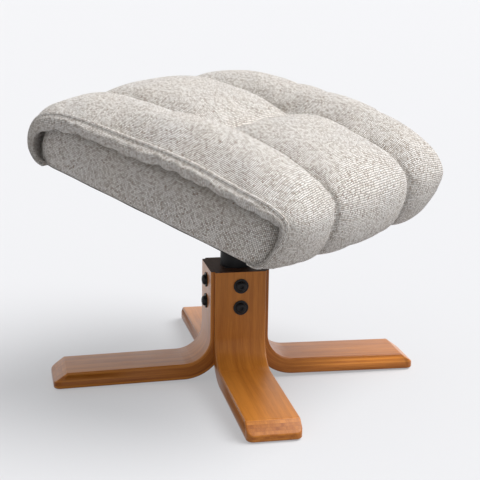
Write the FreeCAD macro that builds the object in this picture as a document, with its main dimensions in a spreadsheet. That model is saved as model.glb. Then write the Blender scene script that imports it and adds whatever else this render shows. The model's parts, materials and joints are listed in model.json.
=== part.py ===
# Rocking footstool. Four bent laminated legs are bolted round a square post. A swivel head stands on
# the post and carries a rubber-sprung rocker, and on that lies an upholstered seat with a quilted pad.
# Millimetres, +Z up. The origin is on the floor under the swivel axis. X is the rocking axis, and the
# low front end of the seat points to -Y.
import FreeCAD, Part
import math
import os

import Sketcher

# Driving dimensions
SIZES = {
    # Legs, each measured outwards from the swivel axis, and how far a cut runs past a piece
    "LegWidth": 70,
    "LegThickness": 22,
    "LegReach": 251,
    "LegTop": 155,
    "LegBend": 37,
    "HeelLift": 4,
    "TipBevel": 18,
    "TipHeight": 9,
    "TipCorner": 9,
    "LegEase": 2.5,
    "MitreGap": 0.3,
    "Overcut": 2,
    # Square post and the bolts through the legs
    "PostWidth": 36,
    "PostWall": 3,
    "PostLength": 90,
    "BoltDiameter": 8,
    "BoltClearance": 0.4,
    "BoltDrop": 19.7,
    "BoltSpacing": 30,
    "BoltStickOut": 3.5,
    "BoltHeadDiameter": 14,
    "BoltHeadHeight": 4.4,
    "ButtonRadius": 3.5,
    "SocketAcross": 5,
    "SocketDepth": 2.6,
    "WasherDiameter": 20,
    "WasherThickness": 1.6,
    "NutAcross": 13,
    "NutThickness": 6.5,
    # Glides under the tips
    "GlideDiameter": 22,
    "GlideThickness": 4,
    "GlideProud": 1.5,
    "GlideInset": 26,
    # Swivel
    "SpindleDiameter": 25,
    "SpindleWall": 4,
    "SpindleTail": 4.5,
    "NeckHeight": 12,
    "RunningFit": 0.05,
    "BushWall": 2.45,
    "BushLength": 14,
    "BushFlangeWidth": 4,
    "BushFlangeThickness": 2,
    "CollarWall": 5.5,
    "CollarHeight": 35,
    "FlangeThickness": 5,
    "ThrustThickness": 2,
    "ShoulderWidth": 6,
    "ShoulderThickness": 5,
    "RingThickness": 1.5,
    "RingProud": 1.7,
    "RingGrooveDepth": 1.2,
    # Rocker, the rake and the rock in degrees
    "SeatRake": 15,
    "RockLimit": 12,
    "TubeDiameter": 42,
    "TubeWall": 3.5,
    "TubeLength": 90,
    "SleeveWall": 3.8,
    "RubberLength": 38,
    "RubberInset": 1,
    "EarGap": 2,
    "PivotDiameter": 12,
    "PivotClearance": 0.2,
    "PivotHeadAcross": 18,
    "PivotHeadThickness": 7.5,
    "PivotWasherDiameter": 24,
    "PivotWasherThickness": 2.5,
    "PivotNutThickness": 12,
    "PivotStickOut": 3,
    # Stops
    "StopArmWidth": 40,
    "StopArmThickness": 5,
    "StopArmReach": 58,
    "StopArmDrop": 10,
    "BufferOffset": 45,
    "BufferDiameter": 20,
    "BufferNutAcross": 10,
    "BufferNutThickness": 5.5,
    "StudStickOut": 1,
    "StopGap": 0.4,
    # Bracket under the seat
    "BracketWidth": 150,
    "BracketLength": 120,
    "BracketThickness": 5,
    "BracketGap": 6,
    "BracketCorner": 10,
    "EarWidth": 36,
    "EarFlare": 8,
    "ScrewSpacingX": 124,
    "ScrewSpacingY": 90,
    "ScrewDiameter": 6,
    "ScrewClearance": 0.3,
    "ScrewHeadDiameter": 12,
    "ScrewHeadHeight": 3.5,
    "ScrewLength": 18,
    "TeeBarrelDiameter": 8,
    "TeeFlangeDiameter": 19,
    "TeeFlangeThickness": 1.5,
    # Seat, drawn level above the rocking axis
    "SeatWidth": 450,
    "SeatLength": 418,
    "SeatSetback": 6,
    "CoreHeight": 68,
    "CoreCorner": 34,
    "CoreEase": 12,
    "ClothThickness": 1.5,
    "DustThickness": 1,
    "BoardThickness": 15,
    "BoardMargin": 6,
    "SoftGap": 0.3,
    # Quilted pad, its heights measured above the core
    "CrestHeight": 53,
    "RearCrest": 42,
    "FrontBrow": 34,
    "BackBrow": 19,
    "SeamHeight": 17,
    "SeamRise": 6,
    "CrossHeight": 24,
    "CrossShift": -4,
    "PadEndThickness": 24,
    "GussetThickness": 13,
    "GussetLap": 4,
    "ChannelWidth": 127,
    "PadEndRadius": 46,
    "SeamEndRadius": 25,
    "PadHemRadius": 20,
    "SeamInset": 9,
    "CornerInset": 24,
    "PadHem": 3,
    "HemReach": 28,
    "SideDraw": 30,
    "SeamGap": 0.6,
}

doc = FreeCAD.newDocument("RockingFootstool")
sheet = doc.addObject("Spreadsheet::Sheet", "Sizes")
for row, (name, value) in enumerate(SIZES.items(), start=1):
    sheet.set(f"A{row}", name)
    sheet.set(f"B{row}", str(value))
    sheet.setAlias(f"B{row}", name)
doc.recompute()

subparts = []

# How far from the origin a sketch's corners stand before their sizes are set
GUESS_RADIUS = 9
# Slices that a puffed panel is drawn through
PANEL_SLICES = 6


def at(name):
    """The value of one driving dimension."""
    return float(sheet.get(name))


def vector(x, y, z):
    """A point or direction."""
    return FreeCAD.Vector(x, y, z)


def new_body(label):
    """A sub-part, which may hold several equal solids."""
    body = doc.addObject("PartDesign::Body", label)
    body.Label = label
    body.AllowCompound = True
    subparts.append(body)
    return body


def plane(body, role):
    """One of a body's own origin planes or axes."""
    return next(feature for feature in body.Origin.OriginFeatures if feature.Role == role)


def new_sketch(body, name, role, shift=("0", "0", "0")):
    """An empty sketch on an origin plane, shifted along its own two axes and its normal."""
    sketch = body.newObject("Sketcher::SketchObject", name)
    sketch.AttachmentSupport = [(plane(body, role), "")]
    sketch.MapMode = "FlatFace"
    for axis, expression in zip("xyz", shift):
        if expression != "0":
            sketch.setExpression(f"AttachmentOffset.Base.{axis}", expression)
    return sketch


def pin_point(sketch, element, point, across, up):
    """Holds a point of the sketch at two expressions measured from the sketch's origin."""
    for kind, expression, other_axis in (("DistanceX", across, -2), ("DistanceY", up, -1)):
        if expression == "0":
            sketch.addConstraint(Sketcher.Constraint("PointOnObject", element, point, other_axis))
        else:
            index = sketch.addConstraint(Sketcher.Constraint(kind, -1, 1, element, point, 1.0))
            sketch.setExpression(f"Constraints[{index}]", expression)


def outline(sketch, corners):
    """Straight lines joined in a ring, each corner a pair of expressions."""
    count = len(corners)
    first_guess = [
        vector(math.cos(2 * math.pi * i / count), math.sin(2 * math.pi * i / count), 0) * GUESS_RADIUS
        for i in range(count)
    ]
    lines = [
        sketch.addGeometry(Part.LineSegment(first_guess[i], first_guess[(i + 1) % count]), False)
        for i in range(count)
    ]
    for i in range(count):
        sketch.addConstraint(Sketcher.Constraint("Coincident", lines[i], 2, lines[(i + 1) % count], 1))
    for line, (across, up) in zip(lines, corners):
        pin_point(sketch, line, 1, across, up)


def rectangle(sketch, width, height, across="0", up="0"):
    """A rectangle of two expressions, centred on two others."""
    left, right = f"{across} - ({width}) / 2", f"{across} + ({width}) / 2"
    low, high = f"{up} - ({height}) / 2", f"{up} + ({height}) / 2"
    outline(sketch, [(left, low), (right, low), (right, high), (left, high)])


def circle(sketch, diameter, across="0", up="0"):
    """A circle whose diameter and centre are expressions."""
    ring = sketch.addGeometry(Part.Circle(vector(0, 0, 0), vector(0, 0, 1), 1), False)
    index = sketch.addConstraint(Sketcher.Constraint("Diameter", ring, 2.0))
    sketch.setExpression(f"Constraints[{index}]", diameter)
    pin_point(sketch, ring, 3, across, up)


def hexagon(sketch, across_flats):
    """A hexagon about the sketch's origin, with two sides parallel to its first axis."""
    half, side = f"({across_flats}) / 2", f"({across_flats}) / 2 / cos(30 deg)"
    corners = [(side, "0")]
    corners += [(f"{side} / 2", half), (f"-{side} / 2", half), (f"-{side}", "0")]
    corners += [(f"-{side} / 2", f"-{half}"), (f"{side} / 2", f"-{half}")]
    outline(sketch, corners)


def pad(sketch, length, both_ways=False, backwards=False):
    """Adds the sketch's outline, grown by an expression."""
    return grow("PartDesign::Pad", sketch, length, both_ways, backwards)


def pocket(sketch, length, both_ways=False, backwards=False):
    """Cuts the sketch's outline, as deep as an expression, backwards being along its normal."""
    return grow("PartDesign::Pocket", sketch, length, both_ways, backwards)


def grow(kind, sketch, length, both_ways, backwards):
    """Grows an outline into a pad or a pocket, one way or to both sides."""
    body = sketch.getParentGeoFeatureGroup()
    feature = body.newObject(kind, sketch.Name + kind.split("::")[1])
    feature.Profile = sketch
    feature.setExpression("Length", length)
    feature.SideType = "Symmetric" if both_ways else "One side"
    feature.Reversed = backwards
    body.Tip = feature
    return feature


def revolve(sketch, axis="V_Axis"):
    """Turns the sketch's outline once round one of its axes."""
    body = sketch.getParentGeoFeatureGroup()
    feature = body.newObject("PartDesign::Revolution", sketch.Name + "Turned")
    feature.Profile = sketch
    feature.ReferenceAxis = (sketch, [axis])
    feature.Angle = 360
    body.Tip = feature
    return feature


def round_edges(body, name, radius, chosen):
    """Rounds the edges that chosen picks by their centre of mass, start and end."""
    doc.recompute()
    base = body.Tip
    names = []
    for index, edge in enumerate(base.Shape.Edges, start=1):
        ends = [vertex.Point for vertex in edge.Vertexes]
        if chosen(edge.CenterOfMass, ends[0], ends[-1]):
            names.append(f"Edge{index}")
    feature = body.newObject("PartDesign::Fillet", name)
    feature.Base = (base, names)
    feature.setExpression("Radius", radius)
    body.Tip = feature
    return feature


def same(one, other):
    """Whether two coordinates agree."""
    return abs(one - other) < 0.01


def repeat_round(body, count):
    """Repeats everything in the body evenly round the vertical axis."""
    doc.recompute()
    pattern = body.newObject("PartDesign::PolarPattern", "Round")
    pattern.TransformMode = "Whole shape"
    pattern.Axis = (plane(body, "Z_Axis"), [""])
    pattern.Angle = 360
    pattern.Occurrences = count
    body.Tip = pattern


def repeat_down(body, spacing):
    """Repeats everything in the body once, lower by the spacing."""
    doc.recompute()
    pattern = body.newObject("PartDesign::LinearPattern", "Down")
    pattern.TransformMode = "Whole shape"
    pattern.Direction = (plane(body, "Z_Axis"), [""])
    pattern.Reversed = True
    pattern.Occurrences = 2
    pattern.setExpression("Length", spacing)
    body.Tip = pattern


def mirror(body, role):
    """Repeats everything in the body across one of its origin planes."""
    doc.recompute()
    feature = body.newObject("PartDesign::Mirrored", "Mirror" + role[:2])
    feature.TransformMode = "Whole shape"
    feature.MirrorPlane = (plane(body, role), [""])
    body.Tip = feature


def turn_to_leg(piece, degrees=45):
    """Turns a piece about the vertical, by default to the diagonal that the first leg lies on."""
    piece.Placement = FreeCAD.Placement(
        vector(0, 0, 0), FreeCAD.Rotation(vector(0, 0, 1), degrees)
    )


def lift_to_pivot(piece):
    """Raises a piece drawn about the rocking axis to its height."""
    piece.setExpression("Placement.Base.z", PIVOT_HEIGHT)


def rake_with_seat(piece):
    """Sets a piece drawn level about the rocking axis to the seat's height and rake."""
    piece.Placement = FreeCAD.Placement(
        vector(0, 0, 0), FreeCAD.Rotation(vector(1, 0, 0), at("SeatRake"))
    )
    piece.setExpression("Placement.Base.z", PIVOT_HEIGHT)
    piece.setExpression("Placement.Rotation.Angle", "Sizes.SeatRake * 1 deg")


# Lengths that several pieces share, each worked out from the driving dimensions
UPRIGHT_FACE = "(Sizes.PostWidth / 2 + Sizes.LegThickness)"
HEEL_SOLE = "(Sizes.GlideProud + Sizes.HeelLift)"
FOOT_FALL = "(Sizes.HeelLift / (Sizes.LegReach - Sizes.PostWidth / 2))"
MITRE_SHIFT = "(Sizes.MitreGap / sqrt(2))"
UPPER_BOLT = "(Sizes.LegTop - Sizes.BoltDrop)"
BOLT_HOLE = "(Sizes.BoltDiameter + Sizes.BoltClearance)"
HOUSING_FOOT = "(Sizes.LegTop - Sizes.FlangeThickness)"
BUSH_BORE = "(Sizes.SpindleDiameter + 2 * Sizes.RunningFit)"
HOUSING_BORE = f"({BUSH_BORE} + 2 * Sizes.BushWall)"
COLLAR_TOP = "(Sizes.LegTop + Sizes.CollarHeight)"
THRUST_SEAT = f"({COLLAR_TOP} + Sizes.BushFlangeThickness)"
SHOULDER_SEAT = f"({THRUST_SEAT} + Sizes.ThrustThickness)"
SHOULDER_TOP = f"({SHOULDER_SEAT} + Sizes.ShoulderThickness)"
SHOULDER_DIAMETER = "(Sizes.SpindleDiameter + 2 * Sizes.ShoulderWidth)"
PIVOT_HEIGHT = f"({SHOULDER_TOP} + Sizes.NeckHeight + Sizes.TubeDiameter / 2)"
RING_TOP = f"({HOUSING_FOOT} - Sizes.SoftGap)"
RING_DIAMETER = "(Sizes.SpindleDiameter + 2 * Sizes.RingProud)"
TUBE_BORE = "(Sizes.TubeDiameter - 2 * Sizes.TubeWall)"
EAR_FACE = "(Sizes.TubeLength / 2 + Sizes.EarGap)"
EAR_BACK = f"({EAR_FACE} + Sizes.BracketThickness)"
PIVOT_HOLE = "(Sizes.PivotDiameter + 2 * Sizes.PivotClearance)"
SLEEVE_DIAMETER = f"({PIVOT_HOLE} + 2 * Sizes.SleeveWall)"
PLATE_FACE = "(Sizes.TubeDiameter / 2 + Sizes.BracketGap)"
UNDERSIDE = f"({PLATE_FACE} + Sizes.BracketThickness)"
SCREW_HOLE = "(Sizes.ScrewDiameter + 2 * Sizes.ScrewClearance)"
BOARD_FACE = f"({UNDERSIDE} + Sizes.DustThickness)"
BOARD_TOP = f"({BOARD_FACE} + Sizes.BoardThickness)"
CORE_TOP = f"({UNDERSIDE} + Sizes.CoreHeight)"
CORE_WIDTH = "(Sizes.SeatWidth - 2 * Sizes.GussetThickness)"
CORE_LENGTH = "(Sizes.SeatLength - 2 * Sizes.PadEndThickness)"
BUFFER_TOP = (
    f"(({PLATE_FACE} - (Sizes.BufferOffset + Sizes.BufferDiameter / 2) * sin(Sizes.RockLimit * 1 deg))"
    " / cos(Sizes.RockLimit * 1 deg) - Sizes.StopGap)"
)


# Legs
def build_leg(label, turn):
    """An L of bent laminated wood, its upright mitred to the neighbours and its foot bevelled."""
    leg = new_body(label)
    inner, outer = "Sizes.PostWidth / 2", UPRIGHT_FACE
    foot_top = f"{HEEL_SOLE} + Sizes.LegThickness"
    bevel_start = "Sizes.LegReach - Sizes.TipBevel"
    tip_top = "Sizes.GlideProud + Sizes.LegThickness"

    profile = new_sketch(leg, "Profile", "XZ_Plane")
    outline(
        profile,
        [
            (inner, HEEL_SOLE),
            ("Sizes.LegReach", "Sizes.GlideProud"),
            ("Sizes.LegReach", tip_top),
            (outer, f"{foot_top} - {FOOT_FALL} * Sizes.LegThickness"),
            (outer, "Sizes.LegTop"),
            (inner, "Sizes.LegTop"),
        ],
    )
    pad(profile, "Sizes.LegWidth", both_ways=True)

    half_width, back, low = at("LegWidth") / 2, at("PostWidth") / 2, at("LegTop") / 2
    face = back + at("LegThickness")
    round_edges(
        leg,
        "InnerBend",
        "Sizes.LegBend",
        lambda middle, a, b: same(a.x, face) and same(b.x, face) and same(a.z, b.z) and a.z < low,
    )
    round_edges(
        leg,
        "OuterBend",
        "Sizes.LegBend + Sizes.LegThickness",
        lambda middle, a, b: same(a.x, back) and same(b.x, back) and same(a.z, b.z) and a.z < low,
    )
    round_edges(
        leg,
        "TipCorners",
        "Sizes.TipCorner",
        lambda middle, a, b: same(a.x, at("LegReach")) and same(a.x, b.x) and not same(a.z, b.z),
    )

    bevel = new_sketch(leg, "Bevel", "XZ_Plane")
    outline(
        bevel,
        [
            (bevel_start, f"{tip_top} + {FOOT_FALL} * Sizes.TipBevel"),
            ("Sizes.LegReach", "Sizes.GlideProud + Sizes.TipHeight"),
            ("Sizes.LegReach + Sizes.Overcut", "Sizes.GlideProud + Sizes.TipHeight"),
            ("Sizes.LegReach + Sizes.Overcut", f"{tip_top} + Sizes.TipBevel"),
            (bevel_start, f"{tip_top} + Sizes.TipBevel"),
        ],
    )
    pocket(bevel, "Sizes.LegWidth + Sizes.Overcut", both_ways=True)

    for side, name in ((1, "Left"), (-1, "Right")):
        mitre = new_sketch(leg, name + "Mitre", "XY_Plane")
        near, far = MITRE_SHIFT, f"Sizes.LegWidth / 2 + Sizes.Overcut + {MITRE_SHIFT}"
        edge = f"{side} * (Sizes.LegWidth / 2 + Sizes.Overcut)"
        outline(mitre, [(near, "0"), (far, edge), (near, edge)])
        pocket(mitre, "4 * Sizes.LegTop", both_ways=True)

    bolts = new_sketch(leg, "BoltHoles", "YZ_Plane")
    circle(bolts, BOLT_HOLE, "0", UPPER_BOLT)
    circle(bolts, BOLT_HOLE, "0", f"{UPPER_BOLT} - Sizes.BoltSpacing")
    pocket(bolts, f"2 * {UPRIGHT_FACE} + Sizes.Overcut", both_ways=True)

    glide_seat = new_sketch(leg, "GlideSeat", "XY_Plane")
    circle(glide_seat, "Sizes.GlideDiameter", "Sizes.LegReach - Sizes.GlideInset", "0")
    pocket(glide_seat, "Sizes.GlideThickness", backwards=True)

    def eased(middle, a, b):
        on_side = same(abs(a.y), half_width) and same(abs(b.y), half_width) and middle.x > face + 0.01
        on_end = middle.x > at("LegReach") - at("TipCorner") - 0.1
        upright = same(a.x, face) and same(b.x, face) and same(abs(a.y), half_width) and not same(a.z, b.z)
        across = same(a.x, at("LegReach") - at("TipBevel")) and same(a.x, b.x)
        flat = middle.z > at("GlideThickness") + 0.5 or on_side or on_end
        return (on_side or on_end or upright or across) and flat

    round_edges(leg, "EasedEdges", "Sizes.LegEase", eased)
    turn_to_leg(leg, turn)


# Post and leg bolts
def build_centre_post():
    """Square steel tube between the legs, with room at its top for the spindle's retaining ring."""
    post = new_body("centre_post")
    walls = new_sketch(post, "Walls", "XY_Plane", ("0", "0", f"{HOUSING_FOOT} - Sizes.PostLength"))
    rectangle(walls, "Sizes.PostWidth", "Sizes.PostWidth")
    hollow = "Sizes.PostWidth - 2 * Sizes.PostWall"
    rectangle(walls, hollow, hollow)
    pad(walls, "Sizes.PostLength")
    for role in ("YZ_Plane", "XZ_Plane"):
        holes = new_sketch(post, "Holes" + role[:2], role)
        circle(holes, BOLT_HOLE, "0", UPPER_BOLT)
        circle(holes, BOLT_HOLE, "0", f"{UPPER_BOLT} - Sizes.BoltSpacing")
        pocket(holes, "Sizes.PostWidth + Sizes.Overcut", both_ways=True)
    ring_room = new_sketch(post, "RingRoom", "XY_Plane", ("0", "0", HOUSING_FOOT))
    circle(ring_room, f"{RING_DIAMETER} + 2 * Sizes.SoftGap")
    pocket(ring_room, "Sizes.SpindleTail + Sizes.SoftGap")
    turn_to_leg(post)


def repeat_at_bolts(body):
    """Repeats one bolt's piece at the lower bolt and on all four legs."""
    repeat_down(body, "Sizes.BoltSpacing")
    repeat_round(body, 4)
    turn_to_leg(body)


def build_leg_bolts():
    """Button-head bolts that run inwards through washer, leg, post and nut."""
    bolts = new_body("leg_bolts")
    seat = f"{UPRIGHT_FACE} + Sizes.WasherThickness"
    tip = "Sizes.PostWidth / 2 - Sizes.PostWall - Sizes.NutThickness - Sizes.BoltStickOut"
    shank = new_sketch(bolts, "Shank", "XZ_Plane", ("0", UPPER_BOLT, "0"))
    outline(
        shank,
        [
            (tip, "0"),
            (f"{seat} + Sizes.BoltHeadHeight", "0"),
            (f"{seat} + Sizes.BoltHeadHeight", "Sizes.BoltHeadDiameter / 2"),
            (seat, "Sizes.BoltHeadDiameter / 2"),
            (seat, "Sizes.BoltDiameter / 2"),
            (tip, "Sizes.BoltDiameter / 2"),
        ],
    )
    revolve(shank, "H_Axis")
    head_top = at("PostWidth") / 2 + at("LegThickness") + at("WasherThickness") + at("BoltHeadHeight")
    round_edges(
        bolts,
        "Button",
        "Sizes.ButtonRadius",
        lambda middle, a, b: same(a.x, head_top) and same(b.x, head_top),
    )
    socket = new_sketch(
        bolts, "Socket", "YZ_Plane", ("0", UPPER_BOLT, f"{seat} + Sizes.BoltHeadHeight")
    )
    hexagon(socket, "Sizes.SocketAcross")
    pocket(socket, "Sizes.SocketDepth")
    repeat_at_bolts(bolts)


def build_ring(label, outer, inner, start, thickness):
    """A flat ring on the upper bolt's line, repeated at every bolt."""
    rings = new_body(label)
    ring = new_sketch(rings, "Ring", "YZ_Plane", ("0", UPPER_BOLT, start))
    circle(ring, outer)
    circle(ring, inner)
    pad(ring, thickness)
    repeat_at_bolts(rings)


def build_post_nuts():
    """Hexagon nuts welded inside the post."""
    nuts = new_body("post_nuts")
    start = "Sizes.PostWidth / 2 - Sizes.PostWall - Sizes.NutThickness"
    nut = new_sketch(nuts, "Nut", "YZ_Plane", ("0", UPPER_BOLT, start))
    hexagon(nut, "Sizes.NutAcross")
    circle(nut, "Sizes.BoltDiameter")
    pad(nut, "Sizes.NutThickness")
    repeat_at_bolts(nuts)


def build_foot_glides():
    """Round glides let into the soles of the tips."""
    glides = new_body("foot_glides")
    disc = new_sketch(glides, "Disc", "XY_Plane")
    circle(disc, "Sizes.GlideDiameter", "Sizes.LegReach - Sizes.GlideInset", "0")
    pad(disc, "Sizes.GlideThickness")
    round_edges(
        glides,
        "Rim",
        "Sizes.GlideProud / 2",
        lambda middle, a, b: same(middle.z, 0) and same(a.z, 0),
    )
    repeat_round(glides, 4)
    turn_to_leg(glides)


# Swivel
def build_swivel_housing():
    """A square flange on the post and the round collar that shows above the legs."""
    housing = new_body("swivel_housing")
    flange = new_sketch(housing, "Flange", "XY_Plane", ("0", "0", HOUSING_FOOT))
    rectangle(flange, "Sizes.PostWidth", "Sizes.PostWidth")
    pad(flange, "Sizes.FlangeThickness")
    collar = new_sketch(housing, "Collar", "XY_Plane", ("0", "0", "Sizes.LegTop"))
    circle(collar, f"{HOUSING_BORE} + 2 * Sizes.CollarWall")
    pad(collar, "Sizes.CollarHeight")
    bore = new_sketch(housing, "Bore", "XY_Plane", ("0", "0", COLLAR_TOP))
    circle(bore, HOUSING_BORE)
    pocket(bore, "Sizes.CollarHeight + Sizes.FlangeThickness")
    turn_to_leg(housing)


def build_swivel_bushes():
    """A plain bush at the foot of the housing and a flanged one at its mouth."""
    lower = new_body("lower_swivel_bush")
    sleeve = new_sketch(lower, "Sleeve", "XY_Plane", ("0", "0", HOUSING_FOOT))
    circle(sleeve, HOUSING_BORE)
    circle(sleeve, BUSH_BORE)
    pad(sleeve, "Sizes.BushLength")

    upper = new_body("upper_swivel_bush")
    section = new_sketch(upper, "Section", "XZ_Plane")
    bore, wall = f"{BUSH_BORE} / 2", f"{HOUSING_BORE} / 2"
    rim = f"{wall} + Sizes.BushFlangeWidth"
    outline(
        section,
        [
            (bore, f"{COLLAR_TOP} - Sizes.BushLength"),
            (wall, f"{COLLAR_TOP} - Sizes.BushLength"),
            (wall, COLLAR_TOP),
            (rim, COLLAR_TOP),
            (rim, THRUST_SEAT),
            (bore, THRUST_SEAT),
        ],
    )
    revolve(section)


def build_thrust_washer():
    """The steel washer that the spindle's shoulder turns on."""
    washer = new_body("thrust_washer")
    ring = new_sketch(washer, "Ring", "XY_Plane", ("0", "0", THRUST_SEAT))
    circle(ring, SHOULDER_DIAMETER)
    circle(ring, BUSH_BORE)
    pad(ring, "Sizes.ThrustThickness")


def build_swivel_spindle():
    """A hollow spindle with a shoulder, a ring groove and a saddle for the rocker tube."""
    spindle = new_body("swivel_spindle")
    radius, root = "Sizes.SpindleDiameter / 2", "Sizes.SpindleDiameter / 2 - Sizes.RingGrooveDepth"
    bore, shoulder = "Sizes.SpindleDiameter / 2 - Sizes.SpindleWall", f"{SHOULDER_DIAMETER} / 2"
    ring_foot, end = f"{RING_TOP} - Sizes.RingThickness", f"{HOUSING_FOOT} - Sizes.SpindleTail"
    section = new_sketch(spindle, "Section", "XZ_Plane")
    outline(
        section,
        [
            (bore, end),
            (radius, end),
            (radius, ring_foot),
            (root, ring_foot),
            (root, RING_TOP),
            (radius, RING_TOP),
            (radius, SHOULDER_SEAT),
            (shoulder, SHOULDER_SEAT),
            (shoulder, SHOULDER_TOP),
            (radius, SHOULDER_TOP),
            (radius, PIVOT_HEIGHT),
            (bore, PIVOT_HEIGHT),
        ],
    )
    revolve(section)
    saddle = new_sketch(spindle, "Saddle", "YZ_Plane")
    circle(saddle, "Sizes.TubeDiameter", "0", PIVOT_HEIGHT)
    pocket(saddle, "Sizes.SpindleDiameter + Sizes.Overcut", both_ways=True)


def build_retaining_ring():
    """An open ring in the spindle's groove, under the housing."""
    ring = new_body("retaining_ring")
    disc = new_sketch(ring, "Disc", "XY_Plane", ("0", "0", f"{RING_TOP} - Sizes.RingThickness"))
    circle(disc, RING_DIAMETER)
    circle(disc, "Sizes.SpindleDiameter - 2 * Sizes.RingGrooveDepth")
    pad(disc, "Sizes.RingThickness")
    mouth = new_sketch(ring, "Mouth", "XY_Plane", ("0", f"{RING_DIAMETER} / 2", RING_TOP))
    rectangle(mouth, f"{RING_DIAMETER} / 3", f"{RING_DIAMETER} / 2")
    pocket(mouth, "Sizes.RingThickness")


# Rocker
def build_rocker_tube():
    """The steel tube across the spindle that holds the rubber bushes."""
    tube = new_body("rocker_tube")
    ring = new_sketch(tube, "Ring", "YZ_Plane")
    circle(ring, "Sizes.TubeDiameter")
    circle(ring, TUBE_BORE)
    pad(ring, "Sizes.TubeLength", both_ways=True)
    lift_to_pivot(tube)


def build_torsion_bushes():
    """Two rubber bushes that twist as the seat rocks and bring it back."""
    rubber = new_body("torsion_bushes")
    start = "Sizes.TubeLength / 2 - Sizes.RubberInset - Sizes.RubberLength"
    ring = new_sketch(rubber, "Ring", "YZ_Plane", ("0", "0", start))
    circle(ring, TUBE_BORE)
    circle(ring, f"{SLEEVE_DIAMETER} + 2 * Sizes.RunningFit")
    pad(ring, "Sizes.RubberLength")
    mirror(rubber, "YZ_Plane")
    lift_to_pivot(rubber)


def build_stop_arms():
    """Two plates welded to the rocker tube, front and back, that carry the stop buffers."""
    arms = new_body("stop_arms")
    plate = new_sketch(arms, "Plate", "XY_Plane", ("0", "0", "-Sizes.StopArmDrop"))
    rectangle(plate, "Sizes.StopArmWidth", "2 * Sizes.StopArmReach")
    circle(plate, SCREW_HOLE, "0", "Sizes.BufferOffset")
    circle(plate, SCREW_HOLE, "0", "-Sizes.BufferOffset")
    pad(plate, "Sizes.StopArmThickness")
    gap = new_sketch(arms, "TubeGap", "YZ_Plane")
    circle(gap, "Sizes.TubeDiameter")
    pocket(gap, "Sizes.StopArmWidth + Sizes.Overcut", both_ways=True)
    rake_with_seat(arms)


def build_stop_buffers():
    """Rubber buffers, each with the stud that holds it to its arm."""
    buffers = new_body("stop_buffers")
    arm_top = "Sizes.StopArmThickness - Sizes.StopArmDrop"
    stud_end = "-Sizes.StopArmDrop - Sizes.BufferNutThickness - Sizes.StudStickOut"
    section = new_sketch(buffers, "Section", "YZ_Plane")
    outline(
        section,
        [
            ("Sizes.BufferOffset", stud_end),
            ("Sizes.BufferOffset + Sizes.ScrewDiameter / 2", stud_end),
            ("Sizes.BufferOffset + Sizes.ScrewDiameter / 2", arm_top),
            ("Sizes.BufferOffset + Sizes.BufferDiameter / 2", arm_top),
            ("Sizes.BufferOffset + Sizes.BufferDiameter / 2", BUFFER_TOP),
            ("Sizes.BufferOffset", BUFFER_TOP),
        ],
    )
    turned = revolve(section)
    turned.ReferenceAxis = (section, ["Edge6"])
    mirror(buffers, "XZ_Plane")
    rake_with_seat(buffers)


def build_buffer_nuts():
    """Nuts on the buffers' studs, under the arms."""
    nuts = new_body("buffer_nuts")
    foot = "-Sizes.StopArmDrop - Sizes.BufferNutThickness"
    nut = new_sketch(nuts, "Nut", "XY_Plane", ("0", "Sizes.BufferOffset", foot))
    hexagon(nut, "Sizes.BufferNutAcross")
    circle(nut, "Sizes.ScrewDiameter")
    pad(nut, "Sizes.BufferNutThickness")
    mirror(nuts, "XZ_Plane")
    rake_with_seat(nuts)


def build_inner_sleeve():
    """The steel sleeve that the bracket's ears clamp, turning with the seat."""
    sleeve = new_body("inner_sleeve")
    ring = new_sketch(sleeve, "Ring", "YZ_Plane")
    circle(ring, SLEEVE_DIAMETER)
    circle(ring, PIVOT_HOLE)
    pad(ring, f"2 * {EAR_FACE}", both_ways=True)
    rake_with_seat(sleeve)


def build_pivot_bolt():
    """The long bolt through ears and sleeve, on the rocking axis."""
    bolt = new_body("pivot_bolt")
    head_seat = f"-{EAR_BACK} - Sizes.PivotWasherThickness"
    tip = f"{EAR_BACK} + Sizes.PivotWasherThickness + Sizes.PivotNutThickness + Sizes.PivotStickOut"
    shank = new_sketch(bolt, "Shank", "YZ_Plane", ("0", "0", head_seat))
    circle(shank, "Sizes.PivotDiameter")
    pad(shank, f"{tip} - ({head_seat})")
    head = new_sketch(bolt, "Head", "YZ_Plane", ("0", "0", f"{head_seat} - Sizes.PivotHeadThickness"))
    hexagon(head, "Sizes.PivotHeadAcross")
    pad(head, "Sizes.PivotHeadThickness")
    rake_with_seat(bolt)


def build_pivot_washers():
    """A washer outside each ear."""
    washers = new_body("pivot_washers")
    ring = new_sketch(washers, "Ring", "YZ_Plane", ("0", "0", EAR_BACK))
    circle(ring, "Sizes.PivotWasherDiameter")
    circle(ring, PIVOT_HOLE)
    pad(ring, "Sizes.PivotWasherThickness")
    mirror(washers, "YZ_Plane")
    rake_with_seat(washers)


def build_pivot_nut():
    """The locking nut on the pivot bolt."""
    nut = new_body("pivot_nut")
    start = f"{EAR_BACK} + Sizes.PivotWasherThickness"
    body = new_sketch(nut, "Nut", "YZ_Plane", ("0", "0", start))
    hexagon(body, "Sizes.PivotHeadAcross")
    circle(body, "Sizes.PivotDiameter")
    pad(body, "Sizes.PivotNutThickness")
    rake_with_seat(nut)


# Seat bracket and its fasteners
def screw_circles(sketch, diameter):
    """A circle at each corner of the bracket."""
    for across in ("-Sizes.ScrewSpacingX / 2", "Sizes.ScrewSpacingX / 2"):
        for up in ("-Sizes.ScrewSpacingY / 2", "Sizes.ScrewSpacingY / 2"):
            circle(sketch, diameter, across, up)


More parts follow.
